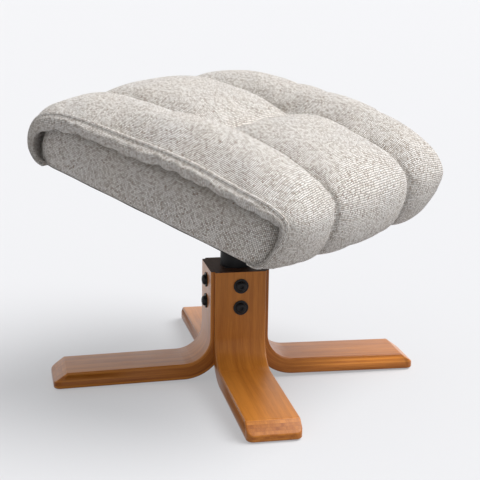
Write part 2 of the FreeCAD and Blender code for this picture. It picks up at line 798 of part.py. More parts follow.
def build_seat_bracket():
    """A plate under the seat with an ear down each side of the rocker tube."""
    bracket = new_body("seat_bracket")
    plate = new_sketch(bracket, "Plate", "XY_Plane", ("0", "0", PLATE_FACE))
    rectangle(plate, "Sizes.BracketWidth", "Sizes.BracketLength")
    screw_circles(plate, SCREW_HOLE)
    pad(plate, "Sizes.BracketThickness")
    half_width = at("BracketWidth") / 2
    round_edges(
        bracket,
        "Corners",
        "Sizes.BracketCorner",
        lambda middle, a, b: same(abs(a.x), half_width) and same(a.x, b.x) and same(a.y, b.y),
    )
    for side, face in ((-1, f"-{EAR_BACK}"), (1, EAR_FACE)):
        name = "Left" if side < 0 else "Right"
        web = new_sketch(bracket, name + "Web", "YZ_Plane", ("0", "0", face))
        bottom = "Sizes.EarWidth / 2"
        top = f"{bottom} + Sizes.EarFlare"
        outline(web, [(f"-{bottom}", "0"), (bottom, "0"), (top, PLATE_FACE), (f"-{top}", PLATE_FACE)])
        pad(web, "Sizes.BracketThickness")
        eye = new_sketch(bracket, name + "Eye", "YZ_Plane", ("0", "0", face))
        circle(eye, "Sizes.EarWidth")
        pad(eye, "Sizes.BracketThickness")
    hole = new_sketch(bracket, "PivotHole", "YZ_Plane")
    circle(hole, PIVOT_HOLE)
    pocket(hole, f"2 * {EAR_BACK} + Sizes.Overcut", both_ways=True)
    rake_with_seat(bracket)


def repeat_at_screws(body):
    """Repeats one screw's piece at the four corners of the bracket."""
    mirror(body, "YZ_Plane")
    mirror(body, "XZ_Plane")
    rake_with_seat(body)


def build_bracket_screws():
    """Screws up through the bracket into the tee nuts."""
    screws = new_body("bracket_screws")
    place = ("Sizes.ScrewSpacingX / 2", "Sizes.ScrewSpacingY / 2")
    head = new_sketch(screws, "Head", "XY_Plane", place + (f"{PLATE_FACE} - Sizes.ScrewHeadHeight",))
    circle(head, "Sizes.ScrewHeadDiameter")
    pad(head, "Sizes.ScrewHeadHeight")
    shank = new_sketch(screws, "Shank", "XY_Plane", place + (PLATE_FACE,))
    circle(shank, "Sizes.ScrewDiameter")
    pad(shank, "Sizes.ScrewLength")
    repeat_at_screws(screws)


def build_tee_nuts():
    """Tee nuts let in from the top of the seat board."""
    nuts = new_body("tee_nuts")
    place = ("Sizes.ScrewSpacingX / 2", "Sizes.ScrewSpacingY / 2")
    flange = new_sketch(nuts, "Flange", "XY_Plane", place + (f"{BOARD_TOP} - Sizes.TeeFlangeThickness",))
    circle(flange, "Sizes.TeeFlangeDiameter")
    circle(flange, "Sizes.ScrewDiameter")
    pad(flange, "Sizes.TeeFlangeThickness")
    barrel = new_sketch(nuts, "Barrel", "XY_Plane", place + (f"{BOARD_FACE} + Sizes.SoftGap",))
    circle(barrel, "Sizes.TeeBarrelDiameter")
    circle(barrel, "Sizes.ScrewDiameter")
    pad(barrel, "Sizes.BoardThickness - Sizes.TeeFlangeThickness - Sizes.SoftGap")
    repeat_at_screws(nuts)


# Seat core
def seat_heights():
    """Heights of the seat's underside and core top above the rocking axis."""
    underside = at("TubeDiameter") / 2 + at("BracketGap") + at("BracketThickness")
    return {"underside": underside, "core top": underside + at("CoreHeight")}


def core_block(body, name, inset, corner, low, height):
    """A round-cornered block of the core's plan, inset by an expression."""
    block = new_sketch(body, name, "XY_Plane", ("0", "0", low))
    width, length = f"{CORE_WIDTH} - 2 * ({inset})", f"{CORE_LENGTH} - 2 * ({inset})"
    rectangle(block, width, length, "0", "Sizes.SeatSetback")
    pad(block, height)
    round_edges(
        body,
        name + "Corners",
        corner,
        lambda middle, a, b: same(a.x, b.x) and same(a.y, b.y),
    )


def build_seat_board():
    """The plywood board that the bracket is screwed to."""
    board = new_body("seat_board")
    core_block(
        board,
        "Board",
        "Sizes.BoardMargin",
        "Sizes.CoreCorner - Sizes.BoardMargin",
        BOARD_FACE,
        "Sizes.BoardThickness",
    )
    barrels = new_sketch(board, "Barrels", "XY_Plane", ("0", "0", BOARD_TOP))
    screw_circles(barrels, "Sizes.TeeBarrelDiameter")
    pocket(barrels, "Sizes.BoardThickness")
    flanges = new_sketch(board, "Flanges", "XY_Plane", ("0", "0", BOARD_TOP))
    screw_circles(flanges, "Sizes.TeeFlangeDiameter")
    pocket(flanges, "Sizes.TeeFlangeThickness")
    rake_with_seat(board)


def build_dust_cover():
    """The cloth stapled under the board."""
    cover = new_body("dust_cover")
    core_block(
        cover,
        "Cloth",
        "Sizes.BoardMargin",
        "Sizes.CoreCorner - Sizes.BoardMargin",
        UNDERSIDE,
        "Sizes.DustThickness",
    )
    holes = new_sketch(cover, "Holes", "XY_Plane", ("0", "0", BOARD_FACE))
    screw_circles(holes, SCREW_HOLE)
    pocket(holes, "Sizes.DustThickness")
    rake_with_seat(cover)


def build_foam_core():
    """The foam block on the board, inside the core's cover."""
    foam = new_body("foam_core")
    inset = "(Sizes.ClothThickness + Sizes.SoftGap)"
    low = f"({BOARD_TOP} + Sizes.SoftGap)"
    core_block(foam, "Foam", inset, f"Sizes.CoreCorner - {inset}", low, f"{CORE_TOP} - {inset} - {low}")
    top = seat_heights()["core top"] - at("ClothThickness") - at("SoftGap")
    round_edges(
        foam,
        "Ease",
        f"Sizes.CoreEase - {inset}",
        lambda middle, a, b: same(a.z, top) and same(b.z, top),
    )
    rake_with_seat(foam)


def build_core_cover():
    """The cloth cover whose side panels show under the pad."""
    cover = new_body("core_cover")
    core_block(cover, "Outside", "0", "Sizes.CoreCorner", UNDERSIDE, "Sizes.CoreHeight")
    foot, top = seat_heights()["underside"], seat_heights()["core top"]
    round_edges(cover, "Ease", "Sizes.CoreEase", lambda middle, a, b: same(a.z, top) and same(b.z, top))
    doc.recompute()
    base = cover.Tip
    open_face = next(
        f"Face{i}"
        for i, face in enumerate(base.Shape.Faces, start=1)
        if same(face.BoundBox.ZMax, foot)
    )
    shell = cover.newObject("PartDesign::Thickness", "Cloth")
    shell.Base = (base, [open_face])
    shell.setExpression("Value", "Sizes.ClothThickness")
    shell.Reversed = True
    cover.Tip = shell
    rake_with_seat(cover)


# Quilted pad: puffed panels that lie over the core and wrap round its two ends
def quarter(centre, radius, start):
    """Start, middle and end of a quarter arc across X, turning from an angle in degrees."""
    points = []
    for degrees in (start, start - 45, start - 90):
        angle = math.radians(degrees)
        points.append(centre + vector(0, math.cos(angle), math.sin(angle)) * radius)
    return points


def panel_section(x, front, back, low, tops, radius, sewn):
    """One slice of a panel across X: hem, rounded end, crowned top, and a sewn or a rounded back.

    The tops are the heights of the front brow, the middle and the back.
    """
    hem_radius = at("PadHemRadius")
    front_top, middle_top, back_top = tops
    front_hem = quarter(vector(x, front + hem_radius, low + hem_radius), hem_radius, 270)
    front_brow = quarter(vector(x, front + radius, front_top - radius), radius, 180)
    if sewn:
        back_runs = [[vector(x, back, back_top), vector(x, back, low)]]
    else:
        back_brow = quarter(vector(x, back - radius, back_top - radius), radius, 90)
        back_hem = quarter(vector(x, back - hem_radius, low + hem_radius), hem_radius, 0)
        back_runs = [back_brow, back_hem]
    crown_start, crown_end = front_brow[-1], back_runs[0][0]
    crown = [crown_start, vector(x, (crown_start.y + crown_end.y) / 2, middle_top), crown_end]
    runs = [front_hem, front_brow, crown, *back_runs]
    edges = []
    for run, following in zip(runs, runs[1:] + runs[:1]):
        edges.append(Part.LineSegment(*run) if len(run) == 2 else Part.Arc(*run))
        if not same(run[-1].distanceToPoint(following[0]), 0):
            edges.append(Part.LineSegment(run[-1], following[0]))
    return Part.Wire([edge.toShape() for edge in edges])


def panel_solid(left, right, front, back, outer, crest_sizes):
    """A puffed panel between two long seams.

    Outer is 1 where the right seam is the pad's own side and 0 elsewhere. The three sizes name the
    heights along the crest, the last being CrossHeight where the back is sewn to the next panel.
    """
    heights = seat_heights()
    seam_top = heights["core top"] + at("SeamHeight")
    crest_tops = [heights["core top"] + at(name) for name in crest_sizes]
    sewn = crest_sizes[-1] == "CrossHeight"
    seam_tops = [seam_top, seam_top + at("SeamRise"), seam_top + at("SeamRise") if sewn else seam_top]
    wires = []
    for k in range(PANEL_SLICES + 1):
        turn = math.pi * k / PANEL_SLICES
        across, puff = (1 - math.cos(turn)) / 2, math.sin(turn)
        corner = across * outer
        inset = (at("SeamInset") * (1 - corner) + at("CornerInset") * corner) * (1 - puff)
        low = heights["underside"] - at("PadHem") + at("SideDraw") * corner * (1 - puff)
        radius = at("SeamEndRadius") * (1 - puff) + at("PadEndRadius") * puff
        tops = [seam * (1 - puff) + crest * puff for seam, crest in zip(seam_tops, crest_tops)]
        x = left + (right - left) * across
        far = back if sewn else back - inset
        wires.append(panel_section(x, front + inset, far, low, tops, radius, sewn))
    return Part.makeLoft(wires, True, False)


def core_space(clearance, inset, low, high):
    """The core's plan, grown by a clearance and drawn in along Y by an inset, between two heights."""
    half_width = at("SeatWidth") / 2 - at("GussetThickness") + clearance
    half_length = at("SeatLength") / 2 - at("PadEndThickness") + clearance - inset
    start = vector(-half_width, at("SeatSetback") - half_length, low)
    return Part.makeBox(2 * half_width, 2 * half_length, high - low, start)


def hollow(panel):
    """Cuts the core and the open underside out of a panel, leaving hems under both ends."""
    gap, heights = at("SoftGap"), seat_heights()
    core_foot, core_top = heights["underside"] - gap, heights["core top"] + gap
    below, sideways = heights["underside"] - 2 * at("PadHem"), at("SeatWidth")
    panel = panel.cut(core_space(gap, 0, core_foot, core_top))
    return panel.cut(core_space(sideways, sideways + at("HemReach"), below, core_foot + gap))


def side_window():
    """The space under the side gusset, through which the core's side panel shows."""
    heights = seat_heights()
    reach = at("SeatLength") / 2 - at("PadEndThickness") - at("HemReach")
    low = heights["underside"] - 2 * at("PadHem")
    high = heights["core top"] - at("GussetLap")
    inside = at("SeatWidth") / 2 - 2 * at("GussetThickness")
    start = vector(inside, at("SeatSetback") - reach, low)
    return Part.makeBox(at("SeatWidth"), 2 * reach, high - low, start)


def add_feature(label, shape):
    """A sub-part made directly as a solid, raked with the seat."""
    piece = doc.addObject("Part::Feature", label)
    piece.Label = label
    piece.Shape = shape
    rake_with_seat(piece)
    subparts.append(piece)


def build_pad():
    """Two side channels and two centre panels, with a sewn line between neighbours."""
    gap, middle, half_length = at("SeamGap") / 2, at("SeatSetback"), at("SeatLength") / 2
    front, back, cross = middle - half_length, middle + half_length, middle + at("CrossShift")
    side = at("SeatWidth") / 2
    seam = side - at("ChannelWidth")
    origin, width_way, length_way = vector(0, 0, 0), vector(1, 0, 0), vector(0, 1, 0)

    front_sizes = ("FrontBrow", "CrestHeight", "CrossHeight")
    front_panel = panel_solid(-seam + gap, seam - gap, front, cross - gap, 0, front_sizes)
    add_feature("pad_centre_front", hollow(front_panel))
    rear_sizes = ("BackBrow", "RearCrest", "CrossHeight")
    rear_panel = panel_solid(-seam + gap, seam - gap, -back, -cross - gap, 0, rear_sizes)
    add_feature("pad_centre_rear", hollow(rear_panel.mirror(origin, length_way)))

    channel_sizes = ("FrontBrow", "CrestHeight", "BackBrow")
    channel = hollow(panel_solid(seam + gap, side, front, back, 1, channel_sizes)).cut(side_window())
    add_feature("pad_right_channel", channel)
    add_feature("pad_left_channel", channel.mirror(origin, width_way))


build_leg("leg_front_right", -45)
build_leg("leg_rear_right", 45)
build_leg("leg_rear_left", 135)
build_leg("leg_front_left", 225)
build_centre_post()
build_leg_bolts()
build_ring("leg_washers", "Sizes.WasherDiameter", BOLT_HOLE, UPRIGHT_FACE, "Sizes.WasherThickness")
build_post_nuts()
build_foot_glides()
build_swivel_housing()
build_swivel_bushes()
build_thrust_washer()
build_swivel_spindle()
build_retaining_ring()
build_rocker_tube()
build_torsion_bushes()
build_stop_arms()
build_stop_buffers()
build_buffer_nuts()
build_inner_sleeve()
build_pivot_bolt()
build_pivot_washers()
build_pivot_nut()
build_seat_bracket()
build_bracket_screws()
build_tee_nuts()
build_seat_board()
build_dust_cover()
build_foam_core()
build_core_cover()
build_pad()
doc.recompute()

for item in doc.Objects:
    if "Invalid" in item.State or "Error" in item.State:
        raise RuntimeError(f"{item.Name} did not compute: {item.State}")
os.makedirs("parts", exist_ok=True)
for piece in subparts:
    shape = piece.Shape
    if shape.isNull() or not shape.isValid() or not shape.Solids:
        raise RuntimeError(f"{piece.Label} has no valid solid")
    box = shape.BoundBox
    print(f"{piece.Label}: {len(shape.Solids)} solids, {shape.Volume / 1000:.1f} cm3,"
          f" {box.XLength:.1f} x {box.YLength:.1f} x {box.ZLength:.1f} from z {box.ZMin:.1f}")
    shape.exportStep(f"parts/{piece.Label}.step")
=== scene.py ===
"""Looks of the rocking footstool: lacquered bentwood legs, black hardware, and a quilted tweed seat.

Metres, in the part's own frame: the floor is at z = 0, the swivel axis is the z axis, and the seat's
low front end points to -y. The seat is drawn level about its rocking axis in millimetres and raked last.
"""

import json
import math

import bmesh
import bpy
import numpy as np
from mathutils import Matrix, Vector, noise


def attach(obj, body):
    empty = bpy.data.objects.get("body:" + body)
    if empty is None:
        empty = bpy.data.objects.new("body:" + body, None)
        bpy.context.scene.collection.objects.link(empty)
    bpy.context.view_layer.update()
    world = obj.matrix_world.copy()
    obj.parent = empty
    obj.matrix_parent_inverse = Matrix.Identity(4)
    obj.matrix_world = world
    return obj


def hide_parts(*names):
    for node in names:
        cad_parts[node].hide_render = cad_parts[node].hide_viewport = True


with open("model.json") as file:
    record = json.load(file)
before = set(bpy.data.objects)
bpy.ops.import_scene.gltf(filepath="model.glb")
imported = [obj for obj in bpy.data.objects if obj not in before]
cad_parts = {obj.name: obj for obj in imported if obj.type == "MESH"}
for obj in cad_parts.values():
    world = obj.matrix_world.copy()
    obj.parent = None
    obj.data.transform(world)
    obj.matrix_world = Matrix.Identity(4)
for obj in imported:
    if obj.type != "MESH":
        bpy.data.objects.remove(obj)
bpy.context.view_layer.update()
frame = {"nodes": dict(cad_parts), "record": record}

MM = 0.001

# The seat's place, as the part's source gives it
ROCKING_HEIGHT = 0.232
SEAT_RAKE = math.radians(15)
SEAT_PLACE = Matrix.Translation((0, 0, ROCKING_HEIGHT)) @ Matrix.Rotation(SEAT_RAKE, 4, "X")

# The photograph's camera: turned about the swivel axis, raised, and slightly rolled
CAMERA_TURN = math.radians(-57.04)
CAMERA_RISE = math.radians(14.12)
CAMERA_ROLL = 0.01456
CAMERA_DISTANCE = 1.6477
CAMERA_TARGET = Vector((0, 0, 0.1891))
CAMERA_SIDESTEP = 0.00602
CAMERA_LENS = 90.81
SENSOR_WIDTH = 36


def place_object(name, data):
    """A new object in the scene."""
    placed = bpy.data.objects.new(name, data)
    bpy.context.scene.collection.objects.link(placed)
    return placed


# Nodes
def set_inputs(tree, node, inputs):
    """Sets a node's inputs, or joins them to the outputs of others."""
    for key, value in inputs.items():
        if isinstance(value, bpy.types.NodeSocket):
            tree.links.new(value, node.inputs[key])
        else:
            node.inputs[key].default_value = value


def add(tree, kind, inputs=None, **settings):
    """Adds a node, sets its properties, and sets or joins its inputs."""
    node = tree.nodes.new(kind)
    for name, value in settings.items():
        setattr(node, name, value)
    set_inputs(tree, node, inputs or {})
    return node


def reckon(tree, operation, a, b=0.0):
    """One sum on numbers."""
    return add(tree, "ShaderNodeMath", {0: a, 1: b}, operation=operation).outputs[0]


def sums(tree):
    """The four plain sums on numbers, as nodes of a tree."""
    def make(operation):
        return lambda a, b: reckon(tree, operation, a, b)

    return [make(operation) for operation in ("ADD", "SUBTRACT", "MULTIPLY", "DIVIDE")]


def reckon_vector(tree, operation, a, b):
    """One sum on vectors."""
    return add(tree, "ShaderNodeVectorMath", {0: a, 1: b}, operation=operation).outputs[0]


def make_vector(tree, x, y, z):
    """A vector from three numbers."""
    return add(tree, "ShaderNodeCombineXYZ", {0: x, 1: y, 2: z}).outputs[0]


def spread(tree, value, low, high, to_low=0.0, to_high=1.0):
    """Maps a value's range to another, held at both ends."""
    inputs = {"Value": value, "From Min": low, "From Max": high, "To Min": to_low, "To Max": to_high}
    return add(tree, "ShaderNodeMapRange", inputs, clamp=True).outputs[0]


def mix_colours(tree, share, a, b, blend="MIX"):
    """Mixes two colours."""
    inputs = {0: share, 6: a, 7: b}
    return add(tree, "ShaderNodeMix", inputs, data_type="RGBA", blend_type=blend, clamp_factor=True).outputs[2]


def dim(tree, tint, brightness):
    """A colour times a brightness."""
    grey = add(tree, "ShaderNodeCombineColor", {0: brightness, 1: brightness, 2: brightness}).outputs[0]
    return mix_colours(tree, 1.0, tint, grey, "MULTIPLY")


def grain_noise(tree, vector, scale, detail=2.0, roughness=0.5):
    """Smooth noise from 0 to 1."""
    inputs = {"Vector": vector, "Scale": scale, "Detail": detail, "Roughness": roughness}
    return add(tree, "ShaderNodeTexNoise", inputs, noise_dimensions="3D").outputs[0]


def new_group(name, inputs, outputs):
    """A shader group with named inputs and outputs, and its two end nodes."""
    group = bpy.data.node_groups.new(name, "ShaderNodeTree")
    for label, kind, value in inputs:
        socket = group.interface.new_socket(label, in_out="INPUT", socket_type=kind)
        if value is not None:
            socket.default_value = value
    for label, kind in outputs:
        group.interface.new_socket(label, in_out="OUTPUT", socket_type=kind)
    return group, group.nodes.new("NodeGroupInput"), group.nodes.new("NodeGroupOutput")


def colour(red, green, blue):
    """A colour written as linear light."""
    return (red, green, blue, 1.0)


# Shared effects
def make_weave():
    """Plain weave of heathered yarns, from a surface position in metres."""
    group, given, result = new_group(
        "Tweed weave",
        [("Surface", "NodeSocketVector", None), ("Yarn width", "NodeSocketFloat", 0.002),
         ("Dark share", "NodeSocketFloat", 0.3), ("Light yarn", "NodeSocketColor", colour(0.7, 0.65, 0.6)),
         ("Dark yarn", "NodeSocketColor", colour(0.2, 0.16, 0.13))],
        [("Colour", "NodeSocketColor"), ("Height", "NodeSocketFloat")],
    )
    wander, flatness = 0.0016, 0.45
    plus, minus, times, _ = sums(group)

    # Yarns wander a little, then are counted across and along the cloth
    surface, width = given.outputs["Surface"], given.outputs["Yarn width"]
    wobble = add(group, "ShaderNodeTexNoise", {"Vector": surface, "Scale": 140.0, "Detail": 1.0})
    drift = reckon_vector(group, "SUBTRACT", wobble.outputs["Color"], (0.5, 0.5, 0.5))
    drift = reckon_vector(group, "MULTIPLY", drift, (wander, wander, 0.0))
    drifted = reckon_vector(group, "ADD", surface, drift)
    counted = reckon_vector(group, "DIVIDE", drifted, make_vector(group, width, width, 1.0))
    across, along, _ = add(group, "ShaderNodeSeparateXYZ", {0: counted}).outputs
    warp, weft = (reckon(group, "FLOOR", count) for count in (across, along))
    warp_on_top = reckon(group, "FLOORED_MODULO", plus(warp, weft), 2.0)

    def yarn_shade(yarn, other, shift):
        place = make_vector(group, yarn, other, shift)
        crossing = add(group, "ShaderNodeTexWhiteNoise", {"Vector": place}, noise_dimensions="3D")
        slub = grain_noise(group, make_vector(group, yarn, times(other, 0.3), shift), 1.0, 1.0)
        return plus(times(crossing.outputs[0], 0.5), slub)

    # Each crossing shows one yarn, some of them dark
    warp_shade, weft_shade = yarn_shade(warp, weft, 0.0), yarn_shade(weft, warp, 71.0)
    shade = plus(times(warp_shade, warp_on_top), times(weft_shade, minus(1.0, warp_on_top)))
    darkest = minus(1.40, times(given.outputs["Dark share"], 0.6))
    dark_share = spread(group, shade, minus(darkest, 0.5), darkest)
    yarn = mix_colours(group, dark_share, given.outputs["Light yarn"], given.outputs["Dark yarn"])

    # Yarns are round, with painted shade darkening the crevices between them, and fuzz on top
    warp_round, weft_round = (
        reckon(group, "SINE", times(reckon(group, "FRACT", count), math.pi)) for count in (across, along)
    )
    height = times(reckon(group, "POWER", warp_round, flatness), reckon(group, "POWER", weft_round, flatness))
    # Painted shade: the yarn colour is dimmed towards the low gaps between the yarns
    painted_crevice_shade = spread(group, height, 0.22, 0.8, 0.22, 1.0)
    fuzz = grain_noise(group, surface, 1800.0)
    set_inputs(group, result, {"Colour": dim(group, yarn, painted_crevice_shade), "Height": plus(height, times(fuzz, 0.35))})
    return group


def make_bent_grain():
    """Veneer grain and plies that follow each leg down its upright, round its bend and along its foot."""
    group, given, result = new_group(
        "Bent grain",
        [("Position", "NodeSocketVector", None), ("Light wood", "NodeSocketColor", colour(0.6, 0.3, 0.1)),
         ("Dark wood", "NodeSocketColor", colour(0.35, 0.14, 0.04)),
         ("Ply thickness", "NodeSocketFloat", 0.0016)],
        [("Colour", "NodeSocketColor"), ("Height", "NodeSocketFloat"), ("Gloss loss", "NodeSocketFloat"),
         ("Lacquer", "NodeSocketFloat")],
    )
    # The bend's centre and radii, the foot's fall per metre, the legs' top and the first ply's extra
    bend_out, bend_up, inner_radius, middle_radius = 0.077, 0.0645, 0.037, 0.048
    fall, top, first_ply = 0.01717, 0.1546, 0.0005
    plus, minus, times, divided = sums(group)

    def positive(value):
        return reckon(group, "MAXIMUM", value, 0.0)

    # Along the leg, across it and into its thickness
    x, y, z = add(group, "ShaderNodeSeparateXYZ", {0: given.outputs["Position"]}).outputs
    side_x, side_y = reckon(group, "ABSOLUTE", x), reckon(group, "ABSOLUTE", y)
    out = times(plus(side_x, side_y), math.sqrt(0.5))
    across = times(minus(side_x, side_y), math.sqrt(0.5))
    inside = minus(bend_out, out)
    beyond = positive(times(inside, -1.0))
    below = minus(minus(bend_up, z), times(beyond, fall))
    above = positive(times(below, -1.0))
    inside, below = positive(inside), positive(below)
    turn = reckon(group, "ARCTAN2", below, inside)
    along = minus(plus(times(turn, middle_radius), beyond), above)
    reach = reckon(group, "SQRT", plus(times(inside, inside), times(below, below)))
    depth = minus(reach, inner_radius)

    # Each leg and each ply has grain of its own
    own = plus(times(reckon(group, "SIGN", x), 3.1), times(reckon(group, "SIGN", y), 7.7))
    plies = divided(plus(depth, first_ply), given.outputs["Ply thickness"])
    ply, inside_ply = reckon(group, "FLOOR", plies), reckon(group, "FRACT", plies)
    streak_place = make_vector(group, times(along, 5.0), times(across, 130.0), plus(times(ply, 2.3), own))
    streaks = grain_noise(group, streak_place, 1.0, 4.0, 0.6)
    fine_place = make_vector(group, times(along, 60.0), times(across, 900.0), plus(times(depth, 900.0), own))
    fine = grain_noise(group, fine_place, 1.0)
    broad = grain_noise(group, make_vector(group, times(along, 4.0), times(across, 22.0), own), 1.0, 1.0)
    ply_tone = add(group, "ShaderNodeTexWhiteNoise", {"W": plus(ply, own)}, noise_dimensions="1D").outputs[0]
    tone = plus(times(streaks, 0.9), times(fine, 0.3))
    tone = plus(tone, times(broad, 0.35))
    tone = plus(tone, times(minus(ply_tone, 0.5), 0.3))
    wood = mix_colours(group, spread(group, tone, 0.5, 1.02), given.outputs["Dark wood"], given.outputs["Light wood"])
    glue = spread(group, inside_ply, 0.0, 0.14, 1.0, 0.0)
    glued = mix_colours(group, times(glue, 0.45), wood, colour(0.10, 0.035, 0.012))

    # The stained end grain on top
    end = spread(group, z, top, top + 0.0002)
    end_tone = grain_noise(group, make_vector(group, times(out, 700.0), times(across, 60.0), own), 1.0)
    end_wood = mix_colours(group, end_tone, colour(0.055, 0.024, 0.012), colour(0.12, 0.055, 0.03))

    wear = grain_noise(group, given.outputs["Position"], 35.0, 4.0, 0.6)
    set_inputs(group, result, {
        "Colour": mix_colours(group, end, glued, end_wood),
        "Height": minus(plus(fine, times(streaks, 0.6)), glue),
        "Gloss loss": plus(spread(group, wear, 0.45, 0.8, 0.0, 0.14), times(end, 0.35)),
        "Lacquer": minus(1.0, times(end, 0.9)),
    })
    return group


def make_speckle():
    """Fine surface grain and slow patches, for paint, plating, rubber and moulded plastic."""
    group, given, result = new_group(
        "Fine grain",
        [("Position", "NodeSocketVector", None), ("Grain size", "NodeSocketFloat", 0.0006),
         ("Base", "NodeSocketColor", colour(0.5, 0.5, 0.5)), ("Patch strength", "NodeSocketFloat", 0.2)],
        [("Colour", "NodeSocketColor"), ("Height", "NodeSocketFloat"), ("Patches", "NodeSocketFloat")],
    )
    plus, minus, times, divided = sums(group)
    position = given.outputs["Position"]
    fine = grain_noise(group, position, divided(1.0, given.outputs["Grain size"]))
    patches = grain_noise(group, position, 70.0, 3.0, 0.6)
    bright = plus(1.0, times(times(minus(patches, 0.5), given.outputs["Patch strength"]), 2.0))
    tinted = dim(group, given.outputs["Base"], bright)
    set_inputs(group, result, {"Colour": tinted, "Height": fine, "Patches": patches})
    return group


WEAVE, GRAIN, SPECKLE = make_weave(), make_bent_grain(), make_speckle()


# Materials
def new_material(name):
    """A material with its shader, ready for its finish."""
    material = bpy.data.materials.new(name)
    material.use_nodes = True
    tree = material.node_tree
    return material, tree, tree.nodes["Principled BSDF"]


def use_group(tree, group, inputs):
    """Places a shared effect in a material."""
    return add(tree, "ShaderNodeGroup", inputs, node_tree=group)


def object_position(tree):
    """The place on the object, in metres."""
    return add(tree, "ShaderNodeTexCoord").outputs["Object"]


def bump(tree, height, strength, distance):
    """A shading normal from a relief."""
    return add(tree, "ShaderNodeBump", {"Height": height, "Strength": strength, "Distance": distance}).outputs[0]


def make_tweed(name, light, dark):
    """Oatmeal tweed, woven along the piece's own seam-to-seam map."""
    material, tree, shader = new_material(name)
    surface = add(tree, "ShaderNodeUVMap", uv_map="Cloth").outputs[0]
    cloth = use_group(tree, WEAVE, {
        "Surface": surface, "Yarn width": 0.0021, "Light yarn": light, "Dark yarn": dark, "Dark share": 0.4,
    })
    soiling = grain_noise(tree, object_position(tree), 14.0, 3.0, 0.6)
    soiled = mix_colours(tree, 1.0, cloth.outputs["Colour"], colour(0.94, 0.89, 0.82), "MULTIPLY")
    set_inputs(tree, shader, {
        "Base Color": mix_colours(tree, spread(tree, soiling, 0.35, 0.7, 0.0, 0.35), cloth.outputs["Colour"], soiled),
        "Roughness": 0.93,
        "Specular IOR Level": 0.25,
        "Sheen Weight": 0.25,
        "Sheen Roughness": 0.5,
        "Normal": bump(tree, cloth.outputs["Height"], 1.0, 0.0011),
    })
    return material


def make_lacquered_wood():
    """Satin lacquer over honey-coloured bent laminate."""
    material, tree, shader = new_material("lacquered_bentwood")
    wood = use_group(tree, GRAIN, {
        "Position": object_position(tree), "Light wood": colour(0.53, 0.19, 0.028),
        "Dark wood": colour(0.27, 0.072, 0.006), "Ply thickness": 0.00275,
    })
    set_inputs(tree, shader, {
        "Base Color": wood.outputs["Colour"],
        "Roughness": reckon(tree, "ADD", 0.34, wood.outputs["Gloss loss"]),
        "Specular IOR Level": 0.08,
        "Coat Weight": wood.outputs["Lacquer"],
        "Coat Roughness": 0.36,
        "Coat IOR": 1.3,
        "Normal": bump(tree, wood.outputs["Height"], 0.25, 0.0002),
    })
    return material


def make_fine(name, base, roughness, metallic=0.0, grain=0.0006, relief=0.3, patches=0.2):
    """Paint, plating, rubber or plastic, with its own grain."""
    uneven = 0.15 / 2
    material, tree, shader = new_material(name)
    surface = use_group(tree, SPECKLE, {
        "Position": object_position(tree), "Grain size": grain, "Base": base, "Patch strength": patches,
    })
    set_inputs(tree, shader, {
        "Base Color": surface.outputs["Colour"],
        "Roughness": spread(tree, surface.outputs["Patches"], 0.3, 0.7, roughness - uneven, roughness + uneven),
        "Metallic": metallic,
        "Specular IOR Level": 0.5 if metallic else 0.2,
        "Normal": bump(tree, surface.outputs["Height"], relief, grain / 3),
    })
    return material


def make_plywood():
    """Bare plywood, its plies level with the raked seat board."""
    ply_thickness = 0.0014
    material, tree, shader = new_material("bare_plywood")
    inputs = {"Vector": object_position(tree), "Rotation": (-SEAT_RAKE, 0, 0)}
    level = add(tree, "ShaderNodeMapping", inputs, vector_type="POINT").outputs[0]
    height = add(tree, "ShaderNodeSeparateXYZ", {0: level}).outputs[2]
    ply = reckon(tree, "FLOOR", reckon(tree, "DIVIDE", height, ply_thickness))
    tone = add(tree, "ShaderNodeTexWhiteNoise", {"W": ply}, noise_dimensions="1D").outputs[0]
    streaks = grain_noise(tree, reckon_vector(tree, "MULTIPLY", level, (250.0, 9.0, 9.0)), 1.0, 3.0)
    share = reckon(tree, "ADD", reckon(tree, "MULTIPLY", tone, 0.5), reckon(tree, "MULTIPLY", streaks, 0.5))
    set_inputs(tree, shader, {
        "Base Color": mix_colours(tree, share, colour(0.42, 0.27, 0.14), colour(0.66, 0.5, 0.33)),
        "Roughness": 0.75,
        "Normal": bump(tree, streaks, 0.3, 0.0003),
    })
    return material


TWEED = make_tweed("oatmeal_tweed", light=colour(1.0, 0.962, 0.915), dark=colour(0.40, 0.31, 0.24))
WOOD = make_lacquered_wood()
BLACK_PAINT = make_fine("black_powder_coat", colour(0.014, 0.014, 0.015), 0.42, grain=0.0005, relief=0.35)
ZINC = make_fine("zinc_plated_steel", colour(0.55, 0.55, 0.56), 0.34, metallic=1.0, grain=0.0004, relief=0.12,
                 patches=0.25)
NYLON = make_fine("black_nylon", colour(0.03, 0.03, 0.03), 0.6, grain=0.0004, relief=0.25)
RUBBER = make_fine("black_rubber", colour(0.022, 0.022, 0.022), 0.8, grain=0.0007, relief=0.4, patches=0.3)
DUST_CLOTH = make_fine("black_dust_cloth", colour(0.03, 0.03, 0.034), 0.95, grain=0.0008, relief=0.8, patches=0.4)
THREAD = make_fine("linen_thread", colour(0.5, 0.45, 0.4), 0.85, grain=0.0003, relief=0.5)
PLYWOOD = make_plywood()

# The finish of each material slot whose pieces keep the part's own shape
FINISHES = {
    "bentwood": WOOD,
    "black_steel": BLACK_PAINT,
    "plain_steel": ZINC,
    "black_nylon": NYLON,
    "black_rubber": RUBBER,
    "plywood": PLYWOOD,
}
SLOT_OF = {part["node"]: part["material_slot"] for part in frame["record"]["subparts"]}
WELD_DISTANCE = 0.000005
CARRIED_CREASE = math.radians(32)


